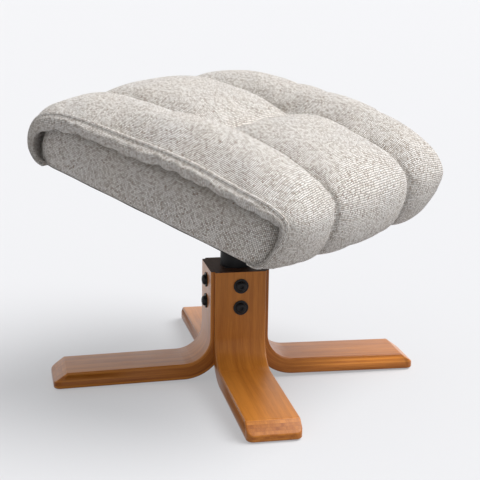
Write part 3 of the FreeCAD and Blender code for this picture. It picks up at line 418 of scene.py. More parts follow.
def make_smoother():
    """Welds a piece's loose facets, shades its curved faces smooth, and gives it its finish."""
    tree = bpy.data.node_groups.new("Smooth facets", "GeometryNodeTree")
    tree.interface.new_socket("Geometry", in_out="INPUT", socket_type="NodeSocketGeometry")
    angle = tree.interface.new_socket("Crease angle", in_out="INPUT", socket_type="NodeSocketFloat")
    finish = tree.interface.new_socket("Finish", in_out="INPUT", socket_type="NodeSocketMaterial")
    tree.interface.new_socket("Geometry", in_out="OUTPUT", socket_type="NodeSocketGeometry")
    given, result = tree.nodes.new("NodeGroupInput"), tree.nodes.new("NodeGroupOutput")
    geometry, crease_angle, material = given.outputs[:3]
    edge = add(tree, "GeometryNodeInputMeshEdgeAngle").outputs[0]
    soft = add(tree, "FunctionNodeCompare", {0: edge, 1: crease_angle}, data_type="FLOAT", operation="LESS_THAN")
    for kind, inputs, settings in (
        ("GeometryNodeMergeByDistance", {"Distance": WELD_DISTANCE}, {}),
        ("GeometryNodeSetShadeSmooth", {"Shade Smooth": True}, {"domain": "FACE"}),
        ("GeometryNodeSetShadeSmooth", {"Shade Smooth": soft.outputs[0]}, {"domain": "EDGE"}),
        ("GeometryNodeRealizeInstances", {}, {}),
        ("GeometryNodeSetMaterial", {"Material": material}, {}),
    ):
        geometry = add(tree, kind, {"Geometry": geometry, **inputs}, **settings).outputs[0]
    tree.links.new(geometry, result.inputs[0])
    return tree, angle.identifier, finish.identifier


def finish_carried_pieces():
    """Gives every piece that keeps its own shape its material and smooth shading."""
    smoother, angle, finish = make_smoother()
    for name, piece in frame["nodes"].items():
        material = FINISHES.get(SLOT_OF.get(name))
        if material is None:
            continue
        piece.data.materials.clear()
        piece.data.materials.append(material)
        modifier = piece.modifiers.new("Smooth facets", "NODES")
        modifier.node_group = smoother
        modifier[angle] = CARRIED_CREASE
        modifier[finish] = material


finish_carried_pieces()


# Upholstery: rails measured along the seat from its front hem over the top to its back hem, as (y, z)
SEAM_RAIL = [
    (-150, 29.5), (-164, 29), (-176, 32), (-184, 42), (-188, 56), (-190, 72), (-189, 88), (-184, 102), (-172, 112),
    (-154, 118), (-126, 121), (-90, 123), (-50, 124), (0, 122), (50, 120), (95, 119), (130, 118), (158, 115),
    (178, 109), (192, 99), (200, 85), (203, 68), (201, 50), (194, 36), (181, 29), (166, 28),
]
SIDE_RAIL = [
    (-148, 33), (-160, 33), (-169, 37), (-177, 47), (-182, 60), (-186, 74), (-188, 87), (-187, 98), (-179, 106),
    (-162, 113), (-130, 118), (-92, 121), (-50, 123.5), (0, 122), (48, 119), (90, 117), (125, 114), (151, 109),
    (171, 102), (184, 93), (192, 81), (195, 66), (192, 51), (184, 41), (174, 35), (164, 34),
]
CORE_RAIL = [
    (-150, 31.4), (-163, 31.4), (-172, 35), (-177, 44), (-179, 56), (-179.3, 70), (-179, 82), (-175.5, 93),
    (-167, 99.6), (-152, 100.7), (-124, 100.7), (-88, 100.7), (-48, 100.7), (0, 100.7), (48, 100.7), (93, 100.7),
    (128, 100.7), (154, 100.7), (172, 99.8), (184, 95), (190, 84), (191.4, 68), (191, 52), (187.5, 41), (179, 34),
    (166, 31.4),
]

# At the same stations: how high the stuffing stands, and how far the side gusset hangs
CHANNEL_PUFF = [3, 5, 8, 10, 11, 12, 13, 15, 19, 23, 27, 30, 31, 30, 28, 25, 21, 16, 13, 12, 12, 11, 10, 8, 5, 3]
GUSSET_DEPTH = [
    3, 3, 3, 4, 5, 6, 8, 11, 15, 18, 19, 19.5, 21, 22.5, 22, 21, 21, 21.5, 21.5, 20, 16, 11, 8, 6, 5, 4,
]

SEAM_X, SIDE_X, CORE_SIDE_X = 98.0, 225.0, 212.0
SEAM_HALF_GAP = 0.8
CELL = 5.6
CHANNEL_STEP, CENTRE_STEP = 6.4, 6.6

# Distances from a seam where the cloth is drawn closely; the last held one is the stitch row
SEAM_STEPS = [0, 1.4, 2.8, 4.2, 6.5, 10, 15]
STITCH_COLUMN = 3
STITCH_DISTANCE = SEAM_STEPS[STITCH_COLUMN]

# How cloth lies by a seam, as height and reach: the stitch row's pull, the crease's fall, an outward seam's ridge
STITCH_PULL, CREASE_FALL = (1.3, 1.5), (4.0, 3.2)
RIDGE_RISE, RIDGE_PULL = (1.3, 2.4), (1.2, 1.6)

# The stuffing: its height against the table, and how bluntly it rises from the seams
CHANNEL_FILL, CENTRE_FILL = 0.92, 0.86
INNER_BLUNT, OUTER_BLUNT, CENTRE_BLUNT, TOP_FLATNESS = 0.66, 0.34, 0.62, 2.6
BACK_SLACK, FRONT_SLACK = 0.3, 0.35
SLACK_FROM, SLACK_RUN, SLACK_FLOOR = 20, 110, 95

# How the corners of the side channels are drawn in, and where the seat's ends begin on the side rail
FRONT_DRAW, BACK_DRAW, SHOULDER = 12.0, 3.0, 4.5
SIDE_MIDDLE, END_START, END_RUN, END_FLOOR = 4, 118, 72, 75

# The wrinkles: reach of a seam's hold, height and length of the waves and of the puckers by a seam
SEAM_HOLD = 16
WAVE, CHANNEL_WAVE, CENTRE_WAVE = 1.5, 50, 58
PUCKER, PUCKER_LENGTH = 2.3, 13

# Rows down the gusset, steps across the undersides, and shares of the way along a seam's wall
GUSSET_ROWS, CHANNEL_UNDER, CENTRE_UNDER = 7, 7, 10
WALL_SHARES = (0.33, 0.67)

# The side gusset: its seam allowance, least free cloth, start, bulge and flare, and its hem as (inwards, up)
ALLOWANCE, LEAST_FREE, GUSSET_START, GUSSET_BULGE, GUSSET_FLARE = 3.0, 2.0, 2.9, 4.8, 1.2
HEM = ((1.4, -1.2), (4.0, -1.2), (11.0, 2.5))

# Where the gusset's lower edge gathers, as (y, depth), measured on the near side
GATHERS = [
    (-172, 5.0), (-150, 4.6), (-118, 5.6), (-84, 4.2), (-60, 2.6), (-34, 5.6), (-8, 6.2), (26, 2.6), (58, 3.2),
    (88, 2.6), (118, 3.6), (158, 4.6),
]
GATHER_REACH, FOLD_REACH, FOLD_SHARE = 8, 4.5, 0.8

# The seam across the centre: its place on the seat's top, the length over which the stuffing rises from it, and the
# parts of a station at which extra sections stand beside it
CROSS_Y, TOP_FROM, CROSS_RISE = 2.0, 60, 80
BY_CROSS = (0.12, 0.3, 0.55)


def smooth_table(table, per_span=12):
    """A table of numbers or points as a dense smooth run through them."""
    rows = np.atleast_2d(np.array(table, float))
    rows = rows.T if rows.shape[0] == 1 else rows
    padded = np.vstack([2 * rows[0] - rows[1], rows, 2 * rows[-1] - rows[-2]])
    run = []
    for i in range(1, len(padded) - 2):
        p0, p1, p2, p3 = padded[i - 1 : i + 3]
        for k in range(per_span):
            t = k / per_span
            run.append(0.5 * (2 * p1 + (p2 - p0) * t + (2 * p0 - 5 * p1 + 4 * p2 - p3) * t * t
                              + (3 * p1 - p0 - 3 * p2 + p3) * t ** 3))
    run.append(padded[-2])
    return np.array(run)


def distances_along(points):
    """Distances along a run of points, from its first point on."""
    return np.concatenate([[0], np.cumsum(np.linalg.norm(np.diff(points, axis=0), axis=1))])


def build_rails():
    """All rails resampled at even steps along the seam rail."""
    steps = distances_along(smooth_table(SEAM_RAIL))
    even = np.linspace(0, steps[-1], int(steps[-1] / CELL) + 1)

    def resample(table):
        run = smooth_table(table)
        return np.stack([np.interp(even, steps, run[:, c]) for c in range(run.shape[1])], axis=1)

    rails = {"seam": resample(SEAM_RAIL), "side": resample(SIDE_RAIL), "core": resample(CORE_RAIL)}
    rails["puff"] = resample(CHANNEL_PUFF)[:, 0]
    rails["gusset"] = resample(GUSSET_DEPTH)[:, 0]
    for name in ("seam", "side"):
        direction = np.gradient(rails[name], axis=0)
        direction /= np.linalg.norm(direction, axis=1)[:, None]
        rails[name + " out"] = np.stack([-direction[:, 1], direction[:, 0]], axis=1)
    rails["length"] = even
    return rails


RAILS = build_rails()


def rail(name, k):
    """A rail's value at a station, which may lie between two."""
    low = min(int(k), len(RAILS["length"]) - 2)
    return RAILS[name][low] * (1 - (k - low)) + RAILS[name][low + 1] * (k - low)


def soft_noise(place, size, seed):
    """Noise from -1 to 1 at a place in millimetres, with features of a size."""
    return noise.noise(Vector(place) / size + Vector((seed * 17.3, seed * 5.9, seed * 11.1)))


def bell(offset, height, reach):
    """A height at no offset, falling away within its reach."""
    return height * math.exp(-((offset / reach) ** 2))


def across_steps(width, middle_step):
    """Distances from a panel's inner seam to its outer one, close together by both seams."""
    inner = width - 2 * SEAM_STEPS[-1]
    count = round(inner / middle_step)
    middle = [SEAM_STEPS[-1] + inner * i / count for i in range(1, count)]
    return SEAM_STEPS + middle + [width - d for d in reversed(SEAM_STEPS)]


def is_held(n, count):
    """Whether a column across the top lies at a seam or at its stitch row."""
    return n <= STITCH_COLUMN or n >= count - 1 - STITCH_COLUMN


def pillow(distance, width, bluntness):
    """How high stuffed cloth stands at a distance from one seam, 1 at the middle."""
    s = abs(2 * (distance - STITCH_DISTANCE) / (width - 2 * STITCH_DISTANCE) - 1)
    return max(0.0, 1 - min(s, 1.0) ** TOP_FLATNESS) ** bluntness


def seam_dip(distance):
    """Cloth pulled down at a seam's stitch row, and closing into the crease."""
    fall, reach = CREASE_FALL
    return -bell(distance - STITCH_DISTANCE, *STITCH_PULL) - fall * max(0.0, 1 - distance / reach)


def ridge(distance):
    """Cloth standing up in a ridge over an outward seam, held at its stitch row."""
    return bell(distance, *RIDGE_RISE) - bell(distance - STITCH_DISTANCE, *RIDGE_PULL)


def pucker(distance, length, by_seam, seed):
    """Short puckers that run out from a seam."""
    return PUCKER * by_seam * soft_noise((distance * 0.3, length, 0), PUCKER_LENGTH, seed + 3)


def end_share(k):
    """0 along the seat's middle, 1 round its front and back ends."""
    y, z = rail("side", k)
    return min(1.0, max(0.0, (abs(y - SIDE_MIDDLE) - END_START) / END_RUN)) ** 1.6 if z > END_FLOOR else 1.0


def gather(y):
    """How much shorter the gusset hangs at y."""
    gathered = sum(depth * math.exp(-abs(y - at) / GATHER_REACH) for at, depth in GATHERS)
    return -gathered + WAVE * soft_noise((y, 0, 0), 30, 5)


def crease(y, t):
    """The small fold that runs up the gusset from each gather."""
    return -sum(bell(y - at, FOLD_SHARE * depth, FOLD_REACH) for at, depth in GATHERS) * t


class Section:
    """The points of one section in their order, and which of them the seams hold."""

    def __init__(self):
        self.points, self.held = [], []

    def add(self, x, place, held=True):
        self.points.append((x, place[0], place[1]))
        self.held.append(held)

    def add_wall(self, x, start, end):
        """Points on the way down or up a seam's wall."""
        for t in WALL_SHARES:
            self.add(x, start * (1 - t) + end * t)


def channel_section(k, seed, slackness=0.0):
    """One section across a side channel: cloth over the top, side gusset, underside and seam wall."""
    section = Section()
    puff, length, ends = rail("puff", k), rail("length", k), end_share(k)
    seam, core, side = rail("seam", k), rail("core", k), rail("side", k)
    seam_out, side_out = rail("seam out", k), rail("side out", k)
    at_front = side[0] < 0
    outer_x = SIDE_X - SHOULDER - (FRONT_DRAW if at_front else BACK_DRAW) * ends
    inner_x = SEAM_X + SEAM_HALF_GAP
    steps = across_steps(SIDE_X - inner_x, CHANNEL_STEP)
    width = steps[-1]

    # The channel nearest the photograph's camera is slacker towards the back of its top, and round its front end
    to_back = min(1.0, max(0.0, (side[0] - SLACK_FROM) / SLACK_RUN))
    slack = 1 - slackness * BACK_SLACK * to_back * (side[1] > SLACK_FLOOR)
    slack -= slackness * FRONT_SLACK * ends if at_front else 0.0

    # Top, from the inner seam to the outer one
    for n, distance in enumerate(steps):
        t, left = distance / width, width - distance
        held, by_seam = is_held(n, len(steps)), math.exp(-min(distance, left) / SEAM_HOLD)
        height = CHANNEL_FILL * slack * puff * pillow(distance, width, INNER_BLUNT + OUTER_BLUNT * t)
        height += seam_dip(distance) + ridge(left)
        height += WAVE * soft_noise((distance, length, 0), CHANNEL_WAVE, seed) * (1 - by_seam) * min(1.0, puff / 15)
        height += 0.0 if held else pucker(distance, length, by_seam, seed)
        place, out = seam + (side - seam) * t, seam_out * (1 - t) + side_out * t
        section.add(inner_x + (outer_x - inner_x) * t, place + out * height, held)

    # Gusset: the seam's allowance, then the free cloth with its gathers
    for distance in SEAM_STEPS[1 : STITCH_COLUMN + 1]:
        raised = 0.7 * ridge(distance)
        section.add(outer_x + distance * 0.7 + raised, side - side_out * (distance * 0.72 - raised))
    depth = max(ALLOWANCE, rail("gusset", k) + gather(side[0]) * (1 - 0.5 * ends))
    free = max(LEAST_FREE, depth - ALLOWANCE)
    for i in range(1, GUSSET_ROWS + 1):
        t = i / GUSSET_ROWS
        bulge = (GUSSET_BULGE * math.sin(math.pi * t ** 0.8) + GUSSET_FLARE * t) * (1 - 0.55 * ends)
        bulge += crease(side[0], t) * (1 - ends)
        ripple = soft_noise((t * 30, length, 9), 14, seed) * math.sin(math.pi * t)
        place = side - side_out * (ALLOWANCE + free * t)
        section.add(outer_x + GUSSET_START + bulge + ripple, place, i == GUSSET_ROWS)

    # Hem turned under, underside on the core, and the wall up to the inner seam
    hem_x, hem = section.points[-1][0], np.array(section.points[-1][1:])
    for inwards, up in HEM:
        section.add(hem_x - inwards, hem + side_out * up)
    last_x = section.points[-1][0]
    for i in range(1, CHANNEL_UNDER + 1):
        section.add(last_x + (inner_x - last_x) * (i / CHANNEL_UNDER), core)
    section.add_wall(inner_x, core, seam + seam_out * seam_dip(0))
    return section


def centre_section(k, seed, fullness):
    """One section across the centre: cloth over the top, underside and both seam walls."""
    section = Section()
    seam, core, out = rail("seam", k), rail("core", k), rail("seam out", k)
    length = rail("length", k)
    half = SEAM_X - SEAM_HALF_GAP
    steps = across_steps(2 * half, CENTRE_STEP)
    width = steps[-1]
    for n, distance in enumerate(steps):
        near = min(distance, width - distance)
        held, by_seam = is_held(n, len(steps)), math.exp(-near / SEAM_HOLD)
        height = rail("puff", k) * CENTRE_FILL * pillow(distance, width, CENTRE_BLUNT) * fullness
        height += seam_dip(near)
        height += (WAVE * soft_noise((distance, length, 0), CENTRE_WAVE, seed) * (1 - by_seam) * fullness
                   - 1.5 * max(0.0, 1 - fullness * 3))
        height += 0.0 if held else pucker(distance, length, by_seam, seed)
        section.add(-half + distance, seam + out * height, held or fullness < 0.12)
    low = seam + out * seam_dip(0)
    section.add_wall(half, low, core)
    for i in range(CENTRE_UNDER + 1):
        section.add(half - 2 * half * i / CENTRE_UNDER, core)
    section.add_wall(-half, core, low)
    return section


# Closed forms
def distances_around(points, unit=1.0):
    """Distances round a closed ring of points, from its first point back to it."""
    around = [0.0]
    for a, b in zip(points, points[1:] + points[:1]):
        around.append(around[-1] + (Vector(b) - Vector(a)).length * unit)
    return around


def close_rings(shape, rings, around=None, lengths=None):
    """Faces between closed rings of corners and over both ends, with a cloth map where its distances are given."""
    cloth_map = None if around is None else shape.loops.layers.uv.new("Cloth")
    count = len(rings[0])
    for r, (ring, after) in enumerate(zip(rings, rings[1:])):
        for i in range(count):
            j = (i + 1) % count
            face = shape.faces.new((ring[i], ring[j], after[j], after[i]))
            if cloth_map is not None:
                corners = ((i, r), (i + 1, r), (i + 1, r + 1), (i, r + 1))
                for corner, (u, v) in zip(face.loops, corners):
                    corner[cloth_map].uv = (around[u], lengths[v])
    ends = [shape.faces.new(rings[0]), shape.faces.new(rings[-1])]
    bmesh.ops.recalc_face_normals(shape, faces=shape.faces)
    return ends, cloth_map


def place_form(name, shape, material, mirrored=False):
    """A piece from its drawn form, raked with the seat."""
    mesh = bpy.data.meshes.new(name)
    shape.to_mesh(mesh)
    shape.free()
    if mirrored:
        mesh.transform(Matrix.Scale(-1, 4, (1, 0, 0)))
        mesh.flip_normals()
    mesh.transform(SEAT_PLACE)
    mesh.materials.append(material)
    return place_object(name, mesh)


def build_panel(name, sections, lengths, seam_columns, mirrored=False):
    """Joins sections into a panel with a cloth map in metres and its held rows marked, and counts their points."""
    shape = bmesh.new()
    rings = [[shape.verts.new(Vector(point) * MM) for point in section.points] for section in sections]
    count = len(rings[0])
    around = distances_around(sections[len(sections) // 2].points, MM)
    ends, cloth_map = close_rings(shape, rings, around, [length * MM for length in lengths])
    for face in ends:
        for corner in face.loops:
            corner[cloth_map].uv = (corner.vert.co.x, corner.vert.co.z)
    sharpness = shape.edges.layers.float.new("crease_edge")
    for ring, after in zip(rings, rings[1:]):
        for i in seam_columns:
            shape.edges.get((ring[i], after[i]))[sharpness] = 1.0
    for ring in (rings[0], rings[-1]):
        for i in range(count):
            shape.edges.get((ring[i], ring[(i + 1) % count]))[sharpness] = 0.8
    piece = place_form(name, shape, TWEED, mirrored)
    group = piece.vertex_groups.new(name="held")
    for r, section in enumerate(sections):
        at_end = r < 2 or r > len(sections) - 3
        group.add([r * count + i for i in range(count) if section.held[i] or at_end], 1.0, "REPLACE")
    return piece, count


def inflate(piece, pressure=3.0, growth=0.02, cap=0.005, frames=18):
    """Stuffs a panel: its cloth swells and puckers between the rows that its seams hold."""
    before = np.empty(len(piece.data.vertices) * 3)
    piece.data.vertices.foreach_get("co", before)
    modifier = piece.modifiers.new("stuffing", "CLOTH")
    cloth = modifier.settings
    cloth.quality, cloth.mass, cloth.air_damping = 6, 0.3, 1.0
    cloth.tension_stiffness = cloth.compression_stiffness = 25
    cloth.shear_stiffness, cloth.bending_stiffness = 8, 0.8
    cloth.tension_damping = cloth.compression_damping = cloth.shear_damping = 8
    cloth.use_pressure, cloth.uniform_pressure_force = True, pressure
    cloth.shrink_min = -growth
    cloth.vertex_group_mass, cloth.pin_stiffness = "held", 1.0
    cloth.effector_weights.gravity = 0
    modifier.collision_settings.use_collision = False
    modifier.point_cache.frame_start, modifier.point_cache.frame_end = 1, frames
    for step in range(1, frames + 1):
        bpy.context.scene.frame_set(step)
    result = piece.evaluated_get(bpy.context.evaluated_depsgraph_get())
    after = np.empty_like(before)
    result.data.vertices.foreach_get("co", after)
    piece.modifiers.remove(modifier)
    bpy.context.scene.frame_set(1)
    move = (after - before).reshape(-1, 3)
    length = np.linalg.norm(move, axis=1)
    held_back = cap * np.tanh(length / cap) / np.maximum(length, 1e-9)
    piece.data.vertices.foreach_set("co", (before.reshape(-1, 3) + move * held_back[:, None]).ravel())
    piece.data.update()


def apply_modifier(piece, modifier):
    """A mesh of the piece as a modifier leaves it, and the modifier taken off."""
    applied = bpy.data.meshes.new_from_object(piece.evaluated_get(bpy.context.evaluated_depsgraph_get()))
    piece.modifiers.remove(modifier)
    return applied


def refine(piece):
    """One subdivision, applied, with smooth shading."""
    modifier = piece.modifiers.new("refine", "SUBSURF")
    modifier.levels = modifier.render_levels = 1
    finer = apply_modifier(piece, modifier)
    coarse, name = piece.data, piece.name
    piece.data = finer
    bpy.data.meshes.remove(coarse)
    finer.name = name
    finer.polygons.foreach_set("use_smooth", [True] * len(finer.polygons))
    piece.vertex_groups.clear()


SIDE_COLUMNS = len(across_steps(SIDE_X - SEAM_X - SEAM_HALF_GAP, CHANNEL_STEP))
CENTRE_COLUMNS = len(across_steps(2 * (SEAM_X - SEAM_HALF_GAP), CENTRE_STEP))


def build_pad():
    """The four panels of the quilted pad and their sections' sizes, by the node each panel stands for."""
    lengths = RAILS["length"]
    stations = range(len(lengths))
    cross = int(np.argmin([abs(y - CROSS_Y) + 1000 * (z < TOP_FROM) for y, z in RAILS["seam"]]))

    def fullness(k):
        away = min(1.0, abs(rail("length", k) - lengths[cross]) / CROSS_RISE)
        return (1 - (1 - away) ** 2) ** 0.7

    def channel(name, seed, slackness=0.0, mirrored=False):
        sections = [channel_section(k, seed, slackness) for k in stations]
        return build_panel(name, sections, [rail("length", k) for k in stations], [0], mirrored)

    def centre(name, seed, places):
        sections = [centre_section(k, seed, fullness(k)) for k in places]
        return build_panel(name, sections, [rail("length", k) for k in places], [0, CENTRE_COLUMNS - 1])

    front = [k for k in stations if k < cross] + [cross - near for near in reversed(BY_CROSS)]
    rear = [cross + near for near in BY_CROSS] + [k for k in stations if k > cross]
    return {
        "pad_right_channel": channel("pad_right_panel", seed=1),
        "pad_left_channel": channel("pad_left_panel", seed=6, slackness=1.0, mirrored=True),
        "pad_centre_front": centre("pad_front_panel", seed=2, places=front),
        "pad_centre_rear": centre("pad_rear_panel", seed=4, places=rear),
    }


# Stitches
def stitch_rows(piece, loop_size, columns, trim=4, lift=0.0002):
    """Rows of points just above a panel's cloth, at its stitch columns, short of its first and last rings."""
    vertices, normals = piece.data.vertices, piece.data.vertex_normals
    rings = range(trim, len(vertices) // loop_size - trim)
    rows = []
    for column in columns:
        places = [r * loop_size + column for r in rings]
        rows.append([vertices[i].co + normals[i].vector * lift for i in places])
    return rows


def make_stitcher():
    """Lays even thread stitches along the edges of a piece."""
    tree = bpy.data.node_groups.new("Stitch rows", "GeometryNodeTree")
    sockets = {}
    tree.interface.new_socket("Geometry", in_out="INPUT", socket_type="NodeSocketGeometry")
    for label, kind, value in (
        ("Stitch pitch", "NodeSocketFloat", 0.0042), ("Stitch length", "NodeSocketFloat", 0.0031),
        ("Thread thickness", "NodeSocketFloat", 0.0009), ("Unevenness", "NodeSocketFloat", 0.12),
        ("Seed", "NodeSocketInt", 3), ("Thread", "NodeSocketMaterial", None),
    ):
        sockets[label] = tree.interface.new_socket(label, in_out="INPUT", socket_type=kind)
        if value is not None:
            sockets[label].default_value = value
    tree.interface.new_socket("Geometry", in_out="OUTPUT", socket_type="NodeSocketGeometry")
    given, result = tree.nodes.new("NodeGroupInput"), tree.nodes.new("NodeGroupOutput")

    # Places along the rows, and each stitch's direction
    curves = add(tree, "GeometryNodeMeshToCurve", {0: given.outputs["Geometry"]}).outputs[0]
    pitch = {"Curve": curves, "Length": given.outputs["Stitch pitch"]}
    spaced = add(tree, "GeometryNodeResampleCurve", pitch, mode="LENGTH").outputs[0]
    tangent = add(tree, "GeometryNodeInputTangent").outputs[0]
    lay = add(tree, "FunctionNodeAlignRotationToVector", {"Vector": tangent}, axis="Z").outputs[0]

    # Each stitch's size
    low = reckon(tree, "SUBTRACT", 1.0, given.outputs["Unevenness"])
    high = reckon(tree, "ADD", 1.0, given.outputs["Unevenness"])
    limits = {2: low, 3: high, "Seed": given.outputs["Seed"]}
    uneven = add(tree, "FunctionNodeRandomValue", limits, data_type="FLOAT").outputs[1]
    long = reckon(tree, "MULTIPLY", given.outputs["Stitch length"], uneven)
    thickness = given.outputs["Thread thickness"]
    size = make_vector(tree, thickness, thickness, long)

    bead = add(tree, "GeometryNodeMeshUVSphere", {"Segments": 6, "Rings": 4, "Radius": 0.5}).outputs[0]
    stitches = {"Points": spaced, "Instance": bead, "Rotation": lay, "Scale": size}
    laid = add(tree, "GeometryNodeInstanceOnPoints", stitches).outputs[0]
    whole = add(tree, "GeometryNodeRealizeInstances", {"Geometry": laid}).outputs[0]
    smooth = add(tree, "GeometryNodeSetShadeSmooth", {"Geometry": whole, "Shade Smooth": True}).outputs[0]
    threaded = {"Geometry": smooth, "Material": given.outputs["Thread"]}
    tree.links.new(add(tree, "GeometryNodeSetMaterial", threaded).outputs[0], result.inputs[0])
    return tree, sockets["Thread"].identifier


def sew(name, rows):
    """A piece of stitches along rows of points, on the seat."""
    stitcher, thread = make_stitcher()
    guide = bpy.data.meshes.new(name + "_rows")
    points = [point for row in rows for point in row]
    starts = np.cumsum([0] + [len(row) for row in rows])
    edges = [(i, i + 1) for a, b in zip(starts, starts[1:]) for i in range(a, b - 1)]
    guide.from_pydata(points, edges, [])
    piece = place_object(name, guide)
    modifier = piece.modifiers.new("stitches", "NODES")
    modifier.node_group = stitcher
    modifier[thread] = THREAD
    piece.data = apply_modifier(piece, modifier)
    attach(piece, "seat")
    return piece


pads = build_pad()
rows = []
for node, (piece, loop_size) in pads.items():
    is_channel = "channel" in node
    last = (SIDE_COLUMNS if is_channel else CENTRE_COLUMNS) - 1
    columns = [STITCH_COLUMN, last - STITCH_COLUMN]
    if is_channel:  # the side seam's second row, on the gusset
        columns.append(last + STITCH_COLUMN)
    inflate(piece)
    rows += stitch_rows(piece, loop_size, columns)
    refine(piece)
    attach(piece, "seat")
    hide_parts(node)

sew("pad_stitching", rows)


# Core under the pad: its plan, and its wall from the rounded top edge to the lip round the seat board
CORE_FRONT, CORE_BACK, CORE_CORNER = -179.0, 191.0, 34.0
CORE_MIDDLE, CORE_HALF_LENGTH = (CORE_FRONT + CORE_BACK) / 2, (CORE_BACK - CORE_FRONT) / 2
CORE_COLUMNS, CORE_MAP_RING, SMALLEST_CORNER = 220, 12, 4.0
ARC_STEPS, ROUND_STEPS, WALL_STEPS = 12, 8, 12
EDGE_INSET, EDGE_WIDTH, EDGE_DROP = 25, 23.5, 22
WALL_TOP, WALL_FOOT, WALL_TAPER, WALL_BELLY, FOOT_ROUND = 78, 41, 1.5, 2.6, 8
CORE_CREASE = math.radians(55)
SWELL_FROM, SWELL_TO, SWELL_INSET = 34, 95, 3

# Dust sheet under the board: its inset from the core's plan, its upper face, thickness and staples
SHEET_INSET, SHEET_TOP, SHEET_THICKNESS = 6.4, 32.0, 0.6
SHEET_COLUMNS, STAPLE_EVERY, STAPLE_DRAW = 168, 8, 0.9


def core_outline(inset, count):
    """The core's plan, a rounded rectangle inset by a length, as evenly spaced points."""
    low, high = CORE_FRONT + inset, CORE_BACK - inset
    middle, corner = (low + high) / 2, max(CORE_CORNER - inset, SMALLEST_CORNER)
    flat_x, flat_y = CORE_SIDE_X - inset - corner, (high - low) / 2 - corner
    arcs = [(flat_x, -flat_y, -90), (flat_x, flat_y, 0), (-flat_x, flat_y, 90), (-flat_x, -flat_y, 180)]
    points = []
    for arc_x, arc_y, start in arcs:
        for i in range(ARC_STEPS + 1):
            a = math.radians(start + 90 * i / ARC_STEPS)
            points.append((arc_x + corner * math.cos(a), middle + arc_y + corner * math.sin(a)))
    ring = np.array(points + points[:1])
    steps = distances_along(ring)
    even = np.linspace(0, steps[-1], count, endpoint=False)
    return [(np.interp(e, steps, ring[:, 0]), np.interp(e, steps, ring[:, 1])) for e in even]


def core_profile():
    """The core's wall from its top inwards edge down to its lip inside, as (inset, z)."""
    profile = [(60, 100.2), (22, 100.2)]
    for i in range(ROUND_STEPS + 1):
        a = math.radians(90 * i / ROUND_STEPS)
        profile.append((EDGE_INSET - EDGE_WIDTH * math.sin(a), WALL_TOP + EDGE_DROP * math.cos(a)))
    for i in range(1, WALL_STEPS):
        inset = WALL_TAPER - WALL_TAPER * i / WALL_STEPS - WALL_BELLY * math.sin(math.pi * (i / WALL_STEPS))
        profile.append((inset, WALL_TOP - (WALL_TOP - WALL_FOOT) * i / WALL_STEPS))
    for i in range(ROUND_STEPS + 1):
        a = math.radians(90 * i / ROUND_STEPS)
        profile.append((FOOT_ROUND - FOOT_ROUND * math.cos(a), WALL_FOOT - FOOT_ROUND * math.sin(a)))
    return profile + [(5.6, 33.2), (5.7, 48.4), (60, 48.4)]


def build_core():
    """The foam core in its tweed cover, with a lip that wraps round the seat board."""
    shape = bmesh.new()
    rings, lengths, down, previous = [], [], 0.0, None
    for inset, z in core_profile():
        ring = []
        for x, y in core_outline(max(inset, 0), CORE_COLUMNS):
            if inset < 0:
                flat = Vector((x / CORE_SIDE_X ** 2, (y - CORE_MIDDLE) / CORE_HALF_LENGTH ** 2, 0))
                outward = flat.normalized()
                x, y = x - outward.x * inset, y - outward.y * inset
            if SWELL_FROM < z < SWELL_TO and inset < SWELL_INSET:
                push = 0.9 * soft_noise((x, y, z * 0.6), 60, 8) + 0.5 * soft_noise((x, y, z), 22, 9)
                outward = Vector((x, y - CORE_MIDDLE, 0)).normalized()
                x, y = x + outward.x * push, y + outward.y * push
            ring.append(shape.verts.new(Vector((x, y, z)) * MM))
        if previous is not None:
            down += math.hypot(inset - previous[0], z - previous[1]) * MM
        previous = (inset, z)
        lengths.append(down)
        rings.append(ring)
    close_rings(shape, rings, distances_around([corner.co for corner in rings[CORE_MAP_RING]]), lengths)
    piece = place_form("core_cushion", shape, TWEED)
    piece.data.polygons.foreach_set("use_smooth", [True] * len(piece.data.polygons))
    piece.data.set_sharp_from_angle(angle=CORE_CREASE)
    return piece


def build_dust_sheet():
    """The black cloth stapled under the seat board, its edge drawn in a little between the staples."""
    plan = core_outline(SHEET_INSET, SHEET_COLUMNS)
    bottom = SHEET_TOP - SHEET_THICKNESS
    shape = bmesh.new()
    rings = []
    for back, z in ((26, SHEET_TOP), (0.6, SHEET_TOP), (0.0, 31.75), (0.6, bottom), (26, bottom)):
        ring = []
        for n, (x, y) in enumerate(plan):
            drawn = back + STAPLE_DRAW * (1 - math.cos(2 * math.pi * n / STAPLE_EVERY)) / 2
            inward = (Vector((0, CORE_MIDDLE, 0)) - Vector((x, y, 0))).normalized() * drawn
            ring.append(shape.verts.new(Vector((x + inward.x, y + inward.y, z)) * MM))
        rings.append(ring)
    close_rings(shape, rings)
    return place_form("dust_sheet", shape, DUST_CLOTH)


dust_sheet = build_dust_sheet()
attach(dust_sheet, "seat")
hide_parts("dust_cover")

core = build_core()
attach(core, "seat")
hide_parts("core_cover", "foam_core")


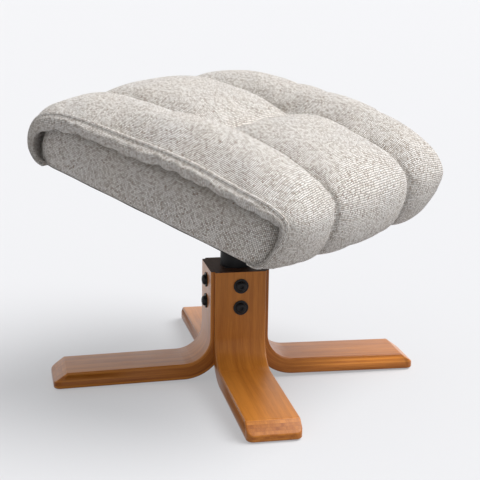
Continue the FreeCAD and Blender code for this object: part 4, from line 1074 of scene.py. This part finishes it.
# Studio
def make_camera():
    """The photograph's camera."""
    back = Vector((math.sin(CAMERA_TURN) * math.cos(CAMERA_RISE), -math.cos(CAMERA_TURN) * math.cos(CAMERA_RISE),
                   math.sin(CAMERA_RISE)))
    right = (-back).cross(Vector((0, 0, 1))).normalized()
    up = right.cross(-back)
    turned_right = right * math.cos(CAMERA_ROLL) + up * math.sin(CAMERA_ROLL)
    turned_up = up * math.cos(CAMERA_ROLL) - right * math.sin(CAMERA_ROLL)
    data = bpy.data.cameras.new("camera")
    data.lens, data.sensor_width = CAMERA_LENS, SENSOR_WIDTH
    camera = place_object("camera", data)
    place = CAMERA_TARGET + back * CAMERA_DISTANCE + turned_right * CAMERA_SIDESTEP
    camera.matrix_world = Matrix.Translation(place) @ Matrix((turned_right, turned_up, back)).transposed().to_4x4()
    bpy.context.scene.camera = camera


def camera_share(tree):
    """1 for rays that show the background, 0 for those that light the object."""
    path = add(tree, "ShaderNodeLightPath")
    shown = reckon(tree, "MAXIMUM", path.outputs["Is Camera Ray"], path.outputs["Is Glossy Ray"])
    return reckon(tree, "MAXIMUM", shown, path.outputs["Is Transmission Ray"])


def make_floor():
    """A wide pale studio floor."""
    bpy.ops.mesh.primitive_circle_add(vertices=64, radius=40, fill_type="NGON", location=(0, 0, 0))
    floor = bpy.context.object
    floor.name = "studio_floor"
    material, tree, shader = new_material("studio_floor")
    shown = camera_share(tree)
    set_inputs(tree, shader, {
        "Base Color": mix_colours(tree, shown, colour(0.42, 0.42, 0.43), colour(0.335, 0.335, 0.342)),
        "Emission Color": mix_colours(tree, shown, colour(0, 0, 0), colour(0.365, 0.368, 0.377)),
        "Emission Strength": 1.0,
        "Roughness": 0.7,
        "Specular IOR Level": 0.1,
    })
    floor.data.materials.append(material)


def make_light():
    """A broad key from the camera's right, and even light from all round."""
    sun = bpy.data.lights.new("key", "SUN")
    sun.energy, sun.angle = 4.05, math.radians(50)
    key = place_object("key", sun)
    key.rotation_euler = Vector((0.42, -0.52, 0.95)).to_track_quat("Z", "Y").to_euler()
    world = bpy.data.worlds.new("studio")
    bpy.context.scene.world = world
    world.use_nodes = True
    tree = world.node_tree
    tint = mix_colours(tree, camera_share(tree), colour(0.49, 0.49, 0.495), colour(0.93, 0.935, 0.945))
    tree.links.new(tint, tree.nodes["Background"].inputs["Color"])


make_camera()
make_floor()
make_light()
bpy.context.scene.view_settings.view_transform = "Standard"
